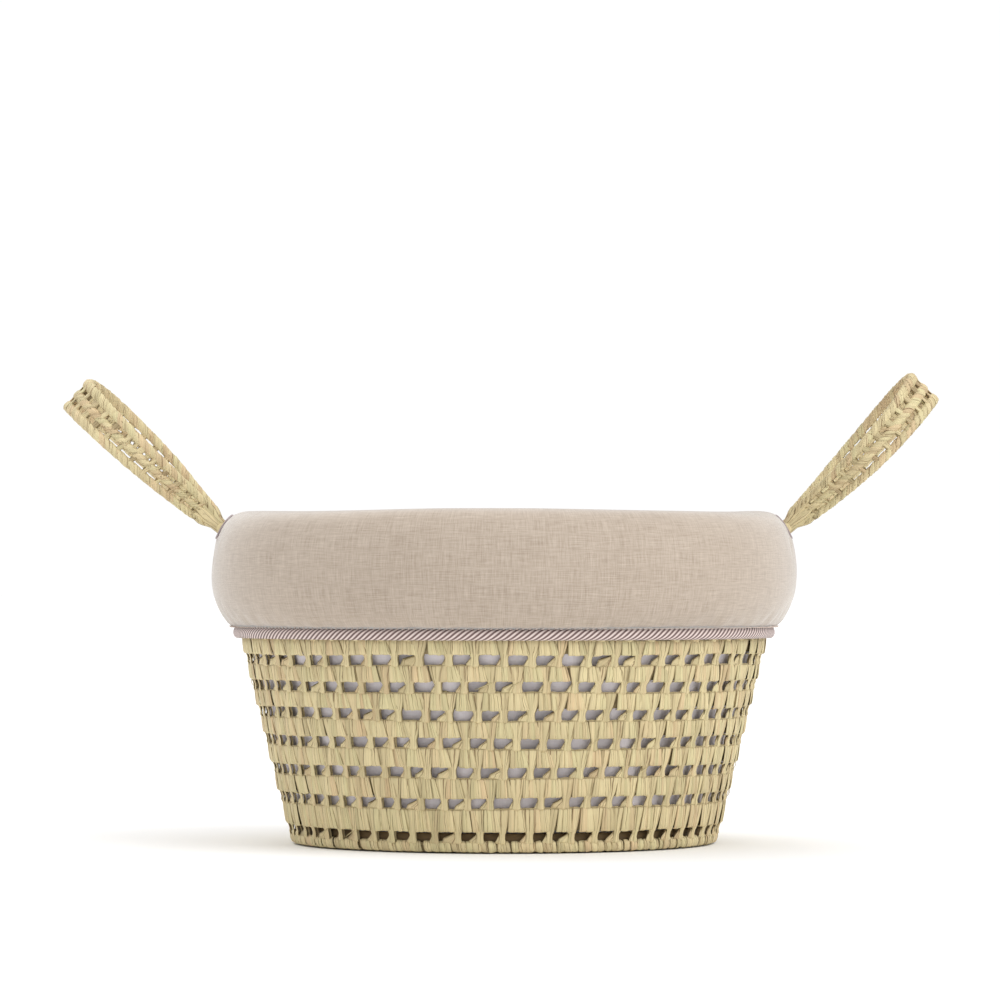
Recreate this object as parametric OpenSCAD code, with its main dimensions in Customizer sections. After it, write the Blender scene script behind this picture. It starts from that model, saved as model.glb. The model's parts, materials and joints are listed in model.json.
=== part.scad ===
// Round palm-leaf storage basket with a padded fabric liner that turns over the rim,
// and two plaited loop handles that swing where they leave the liner's slots.
// Millimetres, +Z up, origin on the floor under the middle. The handles lie along X.

/* [Woven body] */
// Outside radius of the basket on the floor
foot_r = 145.3; // [115:0.1:190]
// Outward lean of the wall below the cover, degrees from upright
wall_lean = 13.9; // [6:0.1:18]
// Outward lean of the wall behind the cover, degrees from upright
rim_lean = 5.7; // [0:0.1:10]
// Height where the wall changes from one lean to the other
turn_z = 146; // [120:1:170]
// Thickness of the woven bands
band_t = 4.5; // [3.5:0.1:6]
// Chamfer on the edges of the bands
band_chamfer = 1; // [0.4:0.1:1.2]
// Number of bands between the foot coil and the rim coil
band_n = 10; // [9:1:11]
// Height of the foot coil
foot_h = 7.5; // [6:0.1:10]
// Height of the lowest band
first_band_h = 16.7; // [12:0.1:22]
// Height of the open rows between bands
gap_h = 6; // [4:0.1:8]
// Height from one open row to the next, above the lowest band
row_pitch = 19.8; // [16:0.1:24]
// How much closer each further row is
row_tighten = 0.54; // [0:0.01:0.6]
// Number of leaf links around each open row
link_n = 60; // [40:2:72]
// Share of the link pitch that the leaf fills
link_share = 0.36; // [0.25:0.01:0.5]
// Thickness of the leaf links
link_t = 2.4; // [1.5:0.1:3]
// Radius of the rim coil
rim_coil_r = 4.5; // [3.5:0.1:5.5]

/* [Base] */
// Thickness of the coiled base
base_t = 6; // [4:0.1:7]
// Radius of the button that starts the base coil
base_button_r = 20; // [12:1:30]
// Number of coiled rings around the button
base_ring_n = 5; // [3:1:7]

/* [Liner and cover] */
// Thickness of the liner and cover cloth
cloth_t = 1.2; // [0.8:0.1:1.6]
// Width of the seam allowance that lies on the floor panel
seam_w = 3; // [2:0.1:5]
// How far the cover's widest line lies below the rim coil's centre
cover_drop = 14.5; // [10:0.1:20]
// How far the crown of the cover lies inside the rim coil's centre
crown_in = 8.5; // [6:0.1:11]
// Width of the padded roll outside its crown
roll_out = 24; // [21:0.1:30]
// Width of the padded roll inside its crown
roll_in = 18; // [15:0.1:24]
// Height of the roll above its widest line
roll_rise = 41; // [38:0.1:50]
// Depth of the roll below its widest line
roll_fall = 43; // [40:0.1:46]
// Squareness of the roll's upper half, where 2 is an ellipse
roll_power = 2.4; // [2:0.1:3]
// Angle round the roll's section at which the hem ends, below level
hem_angle = 66; // [58:1:70]
// Depth of the unpadded hem casing
casing_h = 8; // [6:0.1:12]
// Width of the hem elastic
elastic_w = 6; // [4:0.1:7]
// Thickness of the hem elastic
elastic_t = 1.2; // [0.8:0.1:1.5]
// Radius of the covered piping
piping_r = 2.6; // [1.6:0.1:3]
// Radius of the cord inside the piping
piping_cord_r = 1.4; // [0.8:0.1:1.4]

/* [Handle slots] */
// Angle round the roll's section at which the slot's centre lies
slot_angle = 44; // [38:0.5:50]
// Width of each slot, down the cover
slot_w = 17; // [17:0.5:22]
// How far each slot's middle lies above the pivot, up the cover
slot_rise = 1.5; // [0:0.1:3]
// Room beside the handle's ends in the slot
slot_end_room = 4; // [3:0.5:8]
// Width of the slot's bound edge
binding_w = 1.8; // [1:0.1:2.5]
// How proud of the cover the bound edge stands
binding_proud = 0.7; // [0.3:0.1:1.2]

/* [Handles] */
// Rise of the left handle above level at rest, in degrees
left_tilt = 42.7; // [38:0.1:50]
// Rise of the right handle above level at rest, in degrees
right_tilt = 45.5; // [38:0.1:50]
// Reach of a handle loop from its pivot
loop_l = 135; // [110:1:165]
// Greatest width across a loop, between the strap's centre lines
loop_w = 92; // [70:1:120]
// Length of a loop's rounded end
loop_end_l = 52; // [40:1:60]
// Sag of the left strap below the line from its pivot to its end
left_sag = 1.5; // [0:0.1:6]
// Sag of the right strap below the line from its pivot to its end
right_sag = 4.5; // [0:0.1:6]
// Width of the strap at the end of the loop
strap_w = 27; // [22:0.5:32]
// Width of the strap where its coils meet in the stem
stem_top_w = 15; // [13:0.5:16]
// Width of the stem at the pivot
stem_w = 8; // [7:0.1:9]
// Length of the stem from the pivot to where its coils part
stem_l = 16; // [14:0.5:20]
// Thickness of the strap
strap_t = 4.2; // [3:0.1:5]
// Thickness of the stem
stem_t = 5; // [4:0.1:6]
// Share of the strap's width that each of its three coils takes
coil_share = 0.26; // [0.22:0.01:0.28]
// Distance between the strap's leaf links
strap_pitch = 11.2; // [9:0.1:13]
// Length of each of the strap's leaf links
strap_link_l = 6; // [3:0.1:8]
// Depth of the pivot below the cover
pivot_depth = 1; // [0.5:0.1:2]
// Radius of the rounded end that a handle turns on
pivot_r = 4; // [3.6:0.1:4.4]
// Radius of the cord between that end and its lashing
neck_r = 2.3; // [1.8:0.1:2.6]
// Thickness of the lashing round the rim coil
lashing_t = 1.8; // [1:0.1:2.4]
// Width of the lashing along the rim coil
lashing_w = 8; // [6:0.5:9]

/* [Clearances] */
// Room between the cloth pieces and the wall
soft_gap = 0.3; // [0.2:0.05:0.5]
// Room around the rounded end that a handle turns on
pivot_gap = 0.3; // [0.2:0.05:0.5]
// Room between the lashing and the rim coil
lashing_gap = 0.1; // [0.05:0.05:0.3]

/* [Hidden] */
$fn = 96;
leaf = [0.84, 0.78, 0.58];
leaf_dark = [0.66, 0.57, 0.38];
cloth = [0.78, 0.72, 0.65];
grey_cloth = [0.72, 0.70, 0.71];
mauve = [0.66, 0.58, 0.60];
wadding_white = [0.94, 0.94, 0.92];

// Outside radius of the wall at a height.
function wall_r(z) = foot_r + tan(wall_lean) * min(z, turn_z) + tan(rim_lean) * max(z - turn_z, 0);

// Height of the middle of an open row, counted from 0 just above the foot coil.
function gap_z(k) =
    k == 0 ? foot_h + gap_h / 2 :
    k == 1 ? gap_z(0) + first_band_h + gap_h :
    gap_z(k - 1) + row_pitch - row_tighten * (k - 2);

rim_z = gap_z(band_n) + gap_h / 2 + rim_coil_r;
rim_r = wall_r(rim_z) - band_t / 2;
foot_in_r = foot_r - band_t;
base_ring_w = (foot_in_r - base_button_r) / base_ring_n;
floor_z = base_t + cloth_t;

// The cover's section is a rounded oval over the rim. A point on it is found from the angle a
// round the oval's middle, 0 outwards and 90 up, and d is how far it is moved outwards.
crown_r = rim_r - crown_in;
widest_z = rim_z - cover_drop;
function half_w(a) = cos(a) >= 0 ? roll_out : roll_in;
function half_h(a) = sin(a) >= 0 ? roll_rise : roll_fall;
function power(a) = sin(a) >= 0 ? roll_power : 2;
function signed(v, p) = sign(v) * pow(abs(v), p);
function unit_normal(v) = v / norm(v);
function roll_out_dir(a) = unit_normal([
    signed(cos(a), 2 - 2 / power(a)) / half_w(a),
    signed(sin(a), 2 - 2 / power(a)) / half_h(a)]);
function roll_pt(a, d = 0) =
    [crown_r + half_w(a) * signed(cos(a), 2 / power(a)),
     widest_z + half_h(a) * signed(sin(a), 2 / power(a))] + d * roll_out_dir(a);

function liner_out_r(z) = wall_r(z) - band_t - soft_gap;
function liner_in_r(z) = liner_out_r(z) - cloth_t;
seam_z = widest_z - roll_fall + cloth_t;
liner_top_z = seam_z + seam_w;
seam_angle = 180 + acos(max(0, (crown_r - liner_in_r(seam_z) + soft_gap) / roll_in));
roll_step = 6;
roll_angles = [for (k = [0 : floor((seam_angle + hem_angle) / roll_step)])
    -hem_angle + k * (seam_angle + hem_angle) / floor((seam_angle + hem_angle) / roll_step)];

hem_z = roll_pt(-hem_angle)[1];
piping_z = hem_z - piping_r;
piping_ring_r = wall_r(piping_z) + soft_gap + piping_r;

// Each handle's two ends are lashed through the first openings either side of the X axis.
link_step = 360 / link_n;
stem_y = rim_r * sin(link_step);
slot_pt = roll_pt(slot_angle);
slot_dir = roll_out_dir(slot_angle);
slot_tilt = atan2(slot_dir[1], slot_dir[0]);
pivot_pt = roll_pt(slot_angle, -pivot_depth);
pivot_x = sqrt(pow(pivot_pt[0], 2) - pow(stem_y, 2));
pivot_z = pivot_pt[1];
lashing_x = rim_r * cos(link_step);
slot_l = 2 * stem_y + stem_t + 2 * slot_end_room;
slot_reach = 14;
slot_depth = 15;

// ---- woven body ----

// Section of a band from z0 to z1: upright sides follow the wall, and edges are chamfered.
module band_section(z0, z1) {
    c = band_chamfer;
    polygon([
        [wall_r(z0) - c, z0],
        [wall_r(z0 + c), z0 + c],
        [wall_r(z1 - c), z1 - c],
        [wall_r(z1) - c, z1],
        [wall_r(z1) - band_t + c, z1],
        [wall_r(z1 - c) - band_t, z1 - c],
        [wall_r(z0 + c) - band_t, z0 + c],
        [wall_r(z0) - band_t + c, z0]]);
}

module foot_coil() {
    color(leaf_dark) rotate_extrude() polygon([
        [foot_in_r, 0],
        [foot_r - band_chamfer, 0],
        [wall_r(band_chamfer), band_chamfer],
        [wall_r(foot_h - band_chamfer), foot_h - band_chamfer],
        [wall_r(foot_h) - band_chamfer, foot_h],
        [foot_in_r, foot_h]]);
}

module wall_band(k) {
    color(leaf) rotate_extrude()
        band_section(gap_z(k - 1) + gap_h / 2, gap_z(k) - gap_h / 2);
}

// Section of a link in open row k, between the faces of its two neighbours.
module link_section(k) {
    z0 = gap_z(k) - gap_h / 2;
    z1 = gap_z(k) + gap_h / 2 + (k == band_n ? band_chamfer : 0);
    in = (band_t + link_t) / 2;
    out = (band_t - link_t) / 2;
    difference() {
        polygon([
            [wall_r(z0) - in, z0],
            [wall_r(z0) - out, z0],
            [wall_r(z1) - out, z1],
            [wall_r(z1) - in, z1]]);
        if (k == band_n) translate([rim_r, rim_z]) circle(rim_coil_r);
    }
}

module link_row(k) {
    width = link_step * link_share;
    color(leaf_dark) for (i = [0 : link_n - 1])
        rotate((i + 0.5) * link_step - width / 2) rotate_extrude(angle = width) link_section(k);
}

module rim_coil() {
    color(leaf) rotate_extrude() translate([rim_r, rim_z]) circle(rim_coil_r);
}

// ---- base ----

module base_button() {
    color(leaf) cylinder(h = base_t, r = base_button_r);
}

module base_ring(k) {
    inner = base_button_r + (k - 1) * base_ring_w;
    color(k % 2 == 1 ? leaf_dark : leaf) rotate_extrude()
        translate([inner, 0]) square([base_ring_w, base_t]);
}

// ---- liner and cover ----

module liner_floor() {
    color(grey_cloth) translate([0, 0, base_t]) cylinder(h = cloth_t, r = foot_in_r - soft_gap);
}

// A turned-in seam allowance lies on the floor panel, and the wall panel rises to the cover.
module liner_wall() {
    step_z = foot_h + soft_gap;
    color(grey_cloth) rotate_extrude() polygon([
        [foot_in_r - soft_gap - seam_w, floor_z],
        [foot_in_r - soft_gap, floor_z],
        [foot_in_r - soft_gap, step_z],
        [liner_out_r(step_z), step_z],
        [liner_out_r(min(turn_z, liner_top_z)), min(turn_z, liner_top_z)],
        [liner_out_r(liner_top_z), liner_top_z],
        [liner_in_r(liner_top_z), liner_top_z],
        [liner_in_r(min(turn_z, liner_top_z)), min(turn_z, liner_top_z)],
        [liner_in_r(step_z + cloth_t), step_z + cloth_t],
        [foot_in_r - soft_gap - seam_w, floor_z + cloth_t]]);
}

// Section of the roll's skin, between two distances outwards from its surface.
module skin_section(low, high) {
    polygon(concat(
        [for (a = roll_angles) roll_pt(a, high)],
        [for (k = [len(roll_angles) - 1 : -1 : 0]) roll_pt(roll_angles[k], low)]));
}

// A round-ended prism square to the cover at a slot, grown by extra all round.
module slot_prism(extra) {
    w = slot_w + 2 * extra;
    l = slot_l + 2 * extra;
    x = sqrt(pow(slot_pt[0], 2) - pow(stem_y, 2));
    translate([x, 0, slot_pt[1]]) rotate([0, 90 - slot_tilt, 0])
        translate([-slot_rise, 0, -slot_depth])
        linear_extrude(slot_depth + slot_reach) {
            square([w, l - w], center = true);
            for (s = [-1, 1]) translate([0, s * (l - w) / 2]) circle(d = w);
        }
}

// Both slots' prisms, one at each end of the X axis.
module slot_prisms(extra) {
    slot_prism(extra);
    mirror([1, 0, 0]) slot_prism(extra);
}

module cover_cloth() {
    color(cloth) difference() {
        rotate_extrude() skin_section(-cloth_t, 0);
        slot_prisms(binding_w);
    }
}

module slot_binding() {
    intersection() {
        difference() {
            slot_prism(binding_w);
            slot_prism(0);
        }
        rotate_extrude() skin_section(-cloth_t, binding_proud);
    }
}

module right_slot_binding() {
    color(mauve) slot_binding();
}

module left_slot_binding() {
    color(mauve) mirror([1, 0, 0]) slot_binding();
}

// What the wadding goes round: the wall, the rim coil and the top of the liner wall.
module wall_room() {
    z0 = seam_z - roll_fall;
    top = liner_top_z + soft_gap;
    polygon([
        [wall_r(z0) + soft_gap, z0],
        [wall_r(turn_z) + soft_gap, turn_z],
        [wall_r(rim_z) + soft_gap, rim_z],
        [liner_out_r(rim_z), rim_z],
        [liner_out_r(top), top],
        [liner_in_r(top) - soft_gap, top],
        [liner_in_r(z0) - soft_gap, z0]]);
    translate([rim_r, rim_z]) circle(rim_coil_r + soft_gap);
}

module wadding() {
    casing_top = hem_z + casing_h;
    color(wadding_white) difference() {
        rotate_extrude() difference() {
            polygon([for (a = roll_angles) roll_pt(a, -cloth_t)]);
            wall_room();
            translate([crown_r, 0]) square([roll_out, casing_top]);
        }
        slot_prisms(binding_w);
        for (s = [0, 1]) mirror([s, 0, 0]) for (e = [-1, 1]) lashing_room(e);
    }
}

module hem_elastic() {
    low = hem_z + (casing_h - elastic_w) / 2;
    in_r = wall_r(low + elastic_w) + soft_gap;
    color("white") rotate_extrude() translate([in_r, low]) square([elastic_t, elastic_w]);
}

module piping_cord() {
    color("white") rotate_extrude() translate([piping_ring_r, piping_z]) circle(piping_cord_r);
}

module piping_strip() {
    color(mauve) rotate_extrude() translate([piping_ring_r, piping_z]) difference() {
        circle(piping_r);
        circle(piping_cord_r);
    }
}

// ---- handle lashings, fixed to the rim ----

// The straight run from the rim coil up to the pivot, at the end e of the slot.
module neck(r, e) {
    run = [pivot_x - lashing_x, pivot_z - rim_z];
    translate([lashing_x, e * stem_y, rim_z]) rotate([0, atan2(run[0], run[1]), 0])
        cylinder(h = norm(run), r = r);
}

module round_the_rim(r, w, e) {
    translate([lashing_x, e * stem_y, rim_z]) rotate([90, 0, e * link_step])
        cylinder(h = w, r = r, center = true);
}

module lashing_room(e) {
    round_the_rim(rim_coil_r + lashing_gap + lashing_t + soft_gap, lashing_w + 2 * soft_gap, e);
    neck(neck_r + soft_gap, e);
}

module lashing(e) {
    difference() {
        union() {
            round_the_rim(rim_coil_r + lashing_gap + lashing_t, lashing_w, e);
            neck(neck_r, e);
            translate([pivot_x, e * stem_y, pivot_z]) sphere(pivot_r);
        }
        round_the_rim(rim_coil_r + lashing_gap, lashing_w + 2, e);
    }
}

module right_handle_lashings() {
    color(leaf_dark) for (e = [-1, 1]) lashing(e);
}

module left_handle_lashings() {
    color(leaf_dark) mirror([1, 0, 0]) for (e = [-1, 1]) lashing(e);
}

// ---- handles ----

// A handle is drawn with its pivot at the origin: X along the loop, Y across it, and Z is the
// way that the strap's width lies. t runs from -1 at the front end through 0 at the far end to 1.
bend_t = 0.5;
end_power = 2.2;
leg_l = loop_l - loop_end_l;
function ease(s) = s * s * (3 - 2 * s);
function loop_pt(t) = abs(t) <= bend_t ? bend_pt(90 * t / bend_t) : leg_pt(t);
function bend_pt(a) = [
    leg_l + loop_end_l * signed(cos(a), 2 / end_power),
    loop_w / 2 * signed(sin(a), 2 / end_power)];
function leg_pt(t) =
    let (s = (1 - abs(t)) / (1 - bend_t))
    [leg_l * s, sign(t) * (stem_y + (loop_w / 2 - stem_y) * ease(s))];
function loop_dir(t) = unit_normal(loop_pt(min(t + 0.001, 1)) - loop_pt(max(t - 0.001, -1)));

// Width of the strap at a distance x from the pivot: it opens quickly from the stem, then slowly.
function width_at(x) =
    x <= stem_l ?
    stem_w + (stem_top_w - stem_w) * ease(max(0, x - pivot_r) / (stem_l - pivot_r)) :
    stem_top_w + (strap_w - stem_top_w) * pow((x - stem_l) / (loop_l - stem_l), 0.7);

// Value of t on the back leg where x is reached.
function t_at(x) = 1 - (1 - bend_t) * x / leg_l;

// How far a strap with this much sag lies below the line from its pivot to its end.
function sag_at(x, sag) = sag * sin(180 * x / loop_l);

// A closed tube along the loop from t0 to t1. Its section is an oval, thick across the strap's
// face, whose middle lies at a share of the strap's width and which takes a share of that width.
oval_n = 10;
module strap_tube(t0, t1, rings, middle, share, thick, sag) {
    ts = [for (i = [0 : rings]) t0 + (t1 - t0) * i / rings];
    points = [for (t = ts) let (p = loop_pt(t), d = loop_dir(t), w = width_at(p[0]))
        for (j = [0 : oval_n - 1]) let (a = 360 * (j + 0.5) / oval_n)
            [p[0] + d[1] * thick / 2 * cos(a),
             p[1] - d[0] * thick / 2 * cos(a),
             w * (middle + share / 2 * sin(a)) - sag_at(p[0], sag)]];
    sides = [for (i = [0 : rings - 1]) for (j = [0 : oval_n - 1])
        let (k = (j + 1) % oval_n)
        [i * oval_n + j, i * oval_n + k, (i + 1) * oval_n + k, (i + 1) * oval_n + j]];
    caps = [
        [for (j = [oval_n - 1 : -1 : 0]) j],
        [for (j = [0 : oval_n - 1]) rings * oval_n + j]];
    polyhedron(points, concat(sides, caps), convexity = 8);
}

coil_t = t_at(stem_l);
coil_offset = (1 - coil_share) / 2;
module strap_coil(place, sag) {
    strap_tube(-coil_t, coil_t, 56, place * coil_offset, coil_share, strap_t, sag);
}

// Leaf links between the middle coil and the coil on one side of it. They are set into both.
link_set_in = 0.4;
module strap_links(side, sag) {
    half_l = 0.5 * PI * (loop_end_l + loop_w / 2) / 2 + leg_l - stem_l;
    n = floor(half_l / strap_pitch) - 1;
    for (i = [-n : n]) {
        t = coil_t * i / (n + 1);
        p = loop_pt(t);
        d = loop_dir(t);
        w = width_at(p[0]);
        gap = w * (coil_offset - coil_share) + 2 * link_set_in;
        translate([p[0], p[1], side * w * coil_offset / 2 - sag_at(p[0], sag)])
            rotate(atan2(d[1], d[0]))
            cube([strap_link_l, strap_t / 2, gap], center = true);
    }
}

module strap_stem(e, sag) {
    difference() {
        strap_tube(min(e, e * coil_t), max(e, e * coil_t), 10, 0, 1, stem_t, sag);
        translate([0, e * stem_y, 0]) sphere(pivot_r + pivot_gap);
    }
}

// Puts a handle's piece on its pivot at the right, or at the left.
module at_right() {
    translate([pivot_x, 0, pivot_z]) rotate([0, -right_tilt, 0]) children();
}
module at_left() {
    mirror([1, 0, 0]) translate([pivot_x, 0, pivot_z]) rotate([0, -left_tilt, 0]) children();
}

module right_handle_upper_coil() { color(leaf) at_right() strap_coil(1, right_sag); }
module right_handle_middle_coil() { color(leaf) at_right() strap_coil(0, right_sag); }
module right_handle_lower_coil() { color(leaf) at_right() strap_coil(-1, right_sag); }
module right_handle_upper_links() { color(leaf_dark) at_right() strap_links(1, right_sag); }
module right_handle_lower_links() { color(leaf_dark) at_right() strap_links(-1, right_sag); }
module right_handle_front_stem() { color(leaf) at_right() strap_stem(-1, right_sag); }
module right_handle_back_stem() { color(leaf) at_right() strap_stem(1, right_sag); }
module left_handle_upper_coil() { color(leaf) at_left() strap_coil(1, left_sag); }
module left_handle_middle_coil() { color(leaf) at_left() strap_coil(0, left_sag); }
module left_handle_lower_coil() { color(leaf) at_left() strap_coil(-1, left_sag); }
module left_handle_upper_links() { color(leaf_dark) at_left() strap_links(1, left_sag); }
module left_handle_lower_links() { color(leaf_dark) at_left() strap_links(-1, left_sag); }
module left_handle_front_stem() { color(leaf) at_left() strap_stem(-1, left_sag); }
module left_handle_back_stem() { color(leaf) at_left() strap_stem(1, left_sag); }

HANDLE_PIECES = ["upper_coil", "middle_coil", "lower_coil", "upper_links", "lower_links",
    "front_stem", "back_stem"];

foot_coil();
for (k = [1 : band_n])
    wall_band(k);
for (k = [0 : band_n])
    link_row(k);
rim_coil();
base_button();
for (k = [1 : base_ring_n])
    base_ring(k);
liner_floor();
liner_wall();
cover_cloth();
wadding();
hem_elastic();
piping_cord();
piping_strip();
left_slot_binding();
right_slot_binding();
left_handle_lashings();
right_handle_lashings();
left_handle_upper_coil();
left_handle_middle_coil();
left_handle_lower_coil();
left_handle_upper_links();
left_handle_lower_links();
left_handle_front_stem();
left_handle_back_stem();
right_handle_upper_coil();
right_handle_middle_coil();
right_handle_lower_coil();
right_handle_upper_links();
right_handle_lower_links();
right_handle_front_stem();
right_handle_back_stem();
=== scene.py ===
"""Round storage basket plaited in palm leaf, with a padded linen liner turned over its rim,
a twisted piping cord under the turned edge and two loop handles through bound slots."""
import json
import math

import bmesh
import bpy
import numpy as np
from bpy.props import FloatProperty, FloatVectorProperty, IntProperty, PointerProperty
from bpy.types import Operator, Panel, PropertyGroup
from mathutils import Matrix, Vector


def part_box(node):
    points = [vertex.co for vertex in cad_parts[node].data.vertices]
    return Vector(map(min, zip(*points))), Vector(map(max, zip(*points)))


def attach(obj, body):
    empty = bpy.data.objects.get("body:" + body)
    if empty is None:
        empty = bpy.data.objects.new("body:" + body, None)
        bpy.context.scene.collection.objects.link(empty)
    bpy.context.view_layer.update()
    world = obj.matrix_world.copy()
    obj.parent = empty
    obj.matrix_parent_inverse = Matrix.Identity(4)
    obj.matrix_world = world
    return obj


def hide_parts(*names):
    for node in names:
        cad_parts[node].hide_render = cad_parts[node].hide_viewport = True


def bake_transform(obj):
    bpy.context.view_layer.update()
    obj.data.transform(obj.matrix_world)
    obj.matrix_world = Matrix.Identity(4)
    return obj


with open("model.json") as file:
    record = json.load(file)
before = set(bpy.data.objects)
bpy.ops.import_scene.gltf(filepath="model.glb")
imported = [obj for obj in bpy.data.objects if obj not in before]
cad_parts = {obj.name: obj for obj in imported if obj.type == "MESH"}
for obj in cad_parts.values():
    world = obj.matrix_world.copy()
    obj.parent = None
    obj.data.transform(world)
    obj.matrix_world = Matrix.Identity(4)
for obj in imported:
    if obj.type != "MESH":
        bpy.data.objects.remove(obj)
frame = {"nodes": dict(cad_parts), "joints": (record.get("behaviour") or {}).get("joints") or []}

bl_info = {
    "name": "Palm leaf storage basket",
    "version": (1, 0, 0),
    "blender": (4, 5, 0),
    "location": "View3D > Sidebar > Basket",
    "description": "Plaits and lines a round storage basket around its packed frame",
    "category": "Add Mesh",
}

# ---- places taken from the frame ----

BOX = {name: np.array([list(c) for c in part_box(name)]) for name in frame["nodes"]}
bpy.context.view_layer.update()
PIVOT = {j["child"]: np.array(j["pos_m"], float) for j in frame["joints"]}
BANDS = sorted((n for n in BOX if n.startswith("wall_band_")), key=lambda n: int(n.rsplit("_", 1)[1]))
BASE_RINGS = ["base_button"] + sorted(n for n in BOX if n.startswith("base_ring_"))
CAD_EDGE = 0.001
LEVEL_Z = np.array([BOX[n][1][2] - CAD_EDGE for n in ["foot_coil"] + BANDS])
LEVEL_R = np.array([BOX[n][1][0] for n in ["foot_coil"] + BANDS])
BAND_T = 0.0045
LINKS = 60


def wall_radius(z):
    """Outer radius of the plaited wall at height z: straight lines through the tops of the foot and the
    bands, carried on below the first one."""
    slope = (LEVEL_R[1] - LEVEL_R[0]) / (LEVEL_Z[1] - LEVEL_Z[0])
    low = LEVEL_R[0] + slope * (z - LEVEL_Z[0])
    return np.where(z < LEVEL_Z[0], low, np.interp(z, LEVEL_Z, LEVEL_R))


def shade(red, green, blue):
    """Linear colour from three display levels out of 255."""
    c = np.array([red, green, blue]) / 255
    return tuple(np.where(c <= 0.04045, c / 12.92, ((c + 0.055) / 1.055) ** 2.4)) + (1.0,)


def ease(x):
    """Smooth step: three x squared minus two x cubed, between 0 and 1."""
    x = np.clip(x, 0, 1)
    return x * x * (3 - 2 * x)


def signed(v, p):
    """v raised to the power p with its sign kept."""
    return np.sign(v) * np.abs(v) ** p


def unit(v):
    return v / np.maximum(np.linalg.norm(v, axis=-1, keepdims=True), 1e-12)


# ---- sizes and colours a user may change ----


def length(name, text, value, low, high):
    return FloatProperty(
        name=name, description=text, default=value, min=low, max=high, unit="LENGTH", precision=5)


def share(name, text, value, low=0.0, high=1.0):
    return FloatProperty(name=name, description=text, default=value, min=low, max=high)


def paint(name, text, value):
    return FloatVectorProperty(
        name=name, description=text, default=value, min=0, max=1, size=4, subtype="COLOR")


def count(name, text, value, low, high):
    return IntProperty(name=name, description=text, default=value, min=low, max=high)


class BasketSizes(PropertyGroup):
    seed: IntProperty(name="Seed", description="Starting number for the leaf's natural variation", default=11, min=0)
    leaf_crown: length("Leaf crown", "How far a folded leaf's middle stands above its edges", 0.00045, 0, 0.002)
    leaf_thick: length("Leaf thickness", "Thickness of one folded palm leaf", 0.0005, 0.0002, 0.002)
    fan_top: share("Fan top", "Half width of a fan's top, as a share of the link spacing", 0.25, 0.1, 0.4)
    fan_foot: share("Fan foot", "Half width of a fan's foot, as a share of the link spacing", 0.335, 0.1, 0.45)
    strap_foot: share("Strap foot", "Half width of a link, as a share of the link spacing", 0.14, 0.05, 0.4)
    foot_wraps: count("Foot wraps", "Leaf wraps round the foot coil", 92, 24, 200)
    wrap_width: length("Base wrap width", "Width of the leaf wraps on the coiled base", 0.0085, 0.003, 0.03)
    cover_columns: count("Cover columns", "Grid columns round the padded cover", 336, 96, 720)
    cloth_thick: length("Cloth thickness", "Thickness of the cover and liner cloth", 0.0011, 0.0004, 0.003)
    cord_strands: count("Piping pitch", "Pairs of pale and dark strands along the piping", 280, 60, 500)
    cord_turns: count("Piping twist", "Pairs of strands met in one turn round the piping", 7, 1, 12)
    coil_lead: length("Handle twist", "Length in which a handle's strand goes once round", 0.0155, 0.005, 0.06)


class BasketColours(PropertyGroup):
    straw: paint("Straw leaf", "Commonest colour of the dried palm leaf", shade(222, 206, 161))
    green: paint("Green leaf", "Leaf that dried with some green left", shade(215, 203, 157))
    rosy: paint("Rosy leaf", "Leaf with a pinkish tan cast", shade(217, 193, 151))
    # crevice: colour for painted shade on the leaf's cores, sides and tops, and for its real splits
    crevice: paint("Crevice", "Shaded core and split edges of the leaf", shade(108, 80, 48))
    linen_light: paint("Linen, light", "Pale threads of the cover cloth", shade(200, 186, 171))
    linen_dark: paint("Linen, dark", "Darker threads of the cover cloth", shade(166, 150, 134))
    # the liner's pale colours are partly the cloth's own and partly painted light, standing in for light that comes
    # through the thin cloth
    liner: paint("Liner cloth", "Colour of the liner inside the basket", shade(240, 235, 239))
    liner_dark: paint("Liner cloth, dark", "Darker threads of the liner", shade(224, 217, 222))
    cord_pale: paint("Piping, pale", "Pale strands of the piping", shade(232, 215, 209))
    cord_dark: paint("Piping, dark", "Dark strands of the piping", shade(118, 95, 92))
    binding: paint("Slot binding", "Cloth binding round the handle slots", shade(172, 158, 160))
    filling: paint("Wadding", "Polyester wadding in the roll", shade(212, 205, 195))
    floor: paint("Floor", "Pale floor under the basket", shade(250, 250, 250))


def sizes():
    return bpy.context.scene.basket_sizes


def colours():
    return bpy.context.scene.basket_colours


def random_for(piece):
    """Repeatable random numbers for one piece, from the seed and the letters of its name."""
    return np.random.default_rng([sizes().seed, *piece.encode()])


# ---- mesh making ----


def mesh_object(name, points, quads, uv=None, tone=None, smooth=True):
    """One mesh from arrays: points (n, 3), quads (m, 4) of point numbers, uv (m, 4, 2) and tone (n, 4)."""
    mesh = bpy.data.meshes.new(name)
    mesh.vertices.add(len(points))
    mesh.vertices.foreach_set("co", np.asarray(points, np.float32).ravel())
    mesh.loops.add(quads.size)
    mesh.loops.foreach_set("vertex_index", np.asarray(quads, np.int32).ravel())
    mesh.polygons.add(len(quads))
    mesh.polygons.foreach_set("loop_start", np.arange(0, quads.size, 4, dtype=np.int32))
    mesh.polygons.foreach_set("use_smooth", np.full(len(quads), smooth))
    mesh.update(calc_edges=True)
    if uv is not None:
        layer = mesh.uv_layers.new(name="along")
        layer.data.foreach_set("uv", np.asarray(uv, np.float32).ravel())
    if tone is not None:
        layer = mesh.attributes.new("tone", "FLOAT_COLOR", "POINT")
        layer.data.foreach_set("color", np.asarray(tone, np.float32).ravel())
    mesh.validate()
    made = bpy.data.objects.new(name, mesh)
    bpy.context.scene.collection.objects.link(made)
    return made


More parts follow.
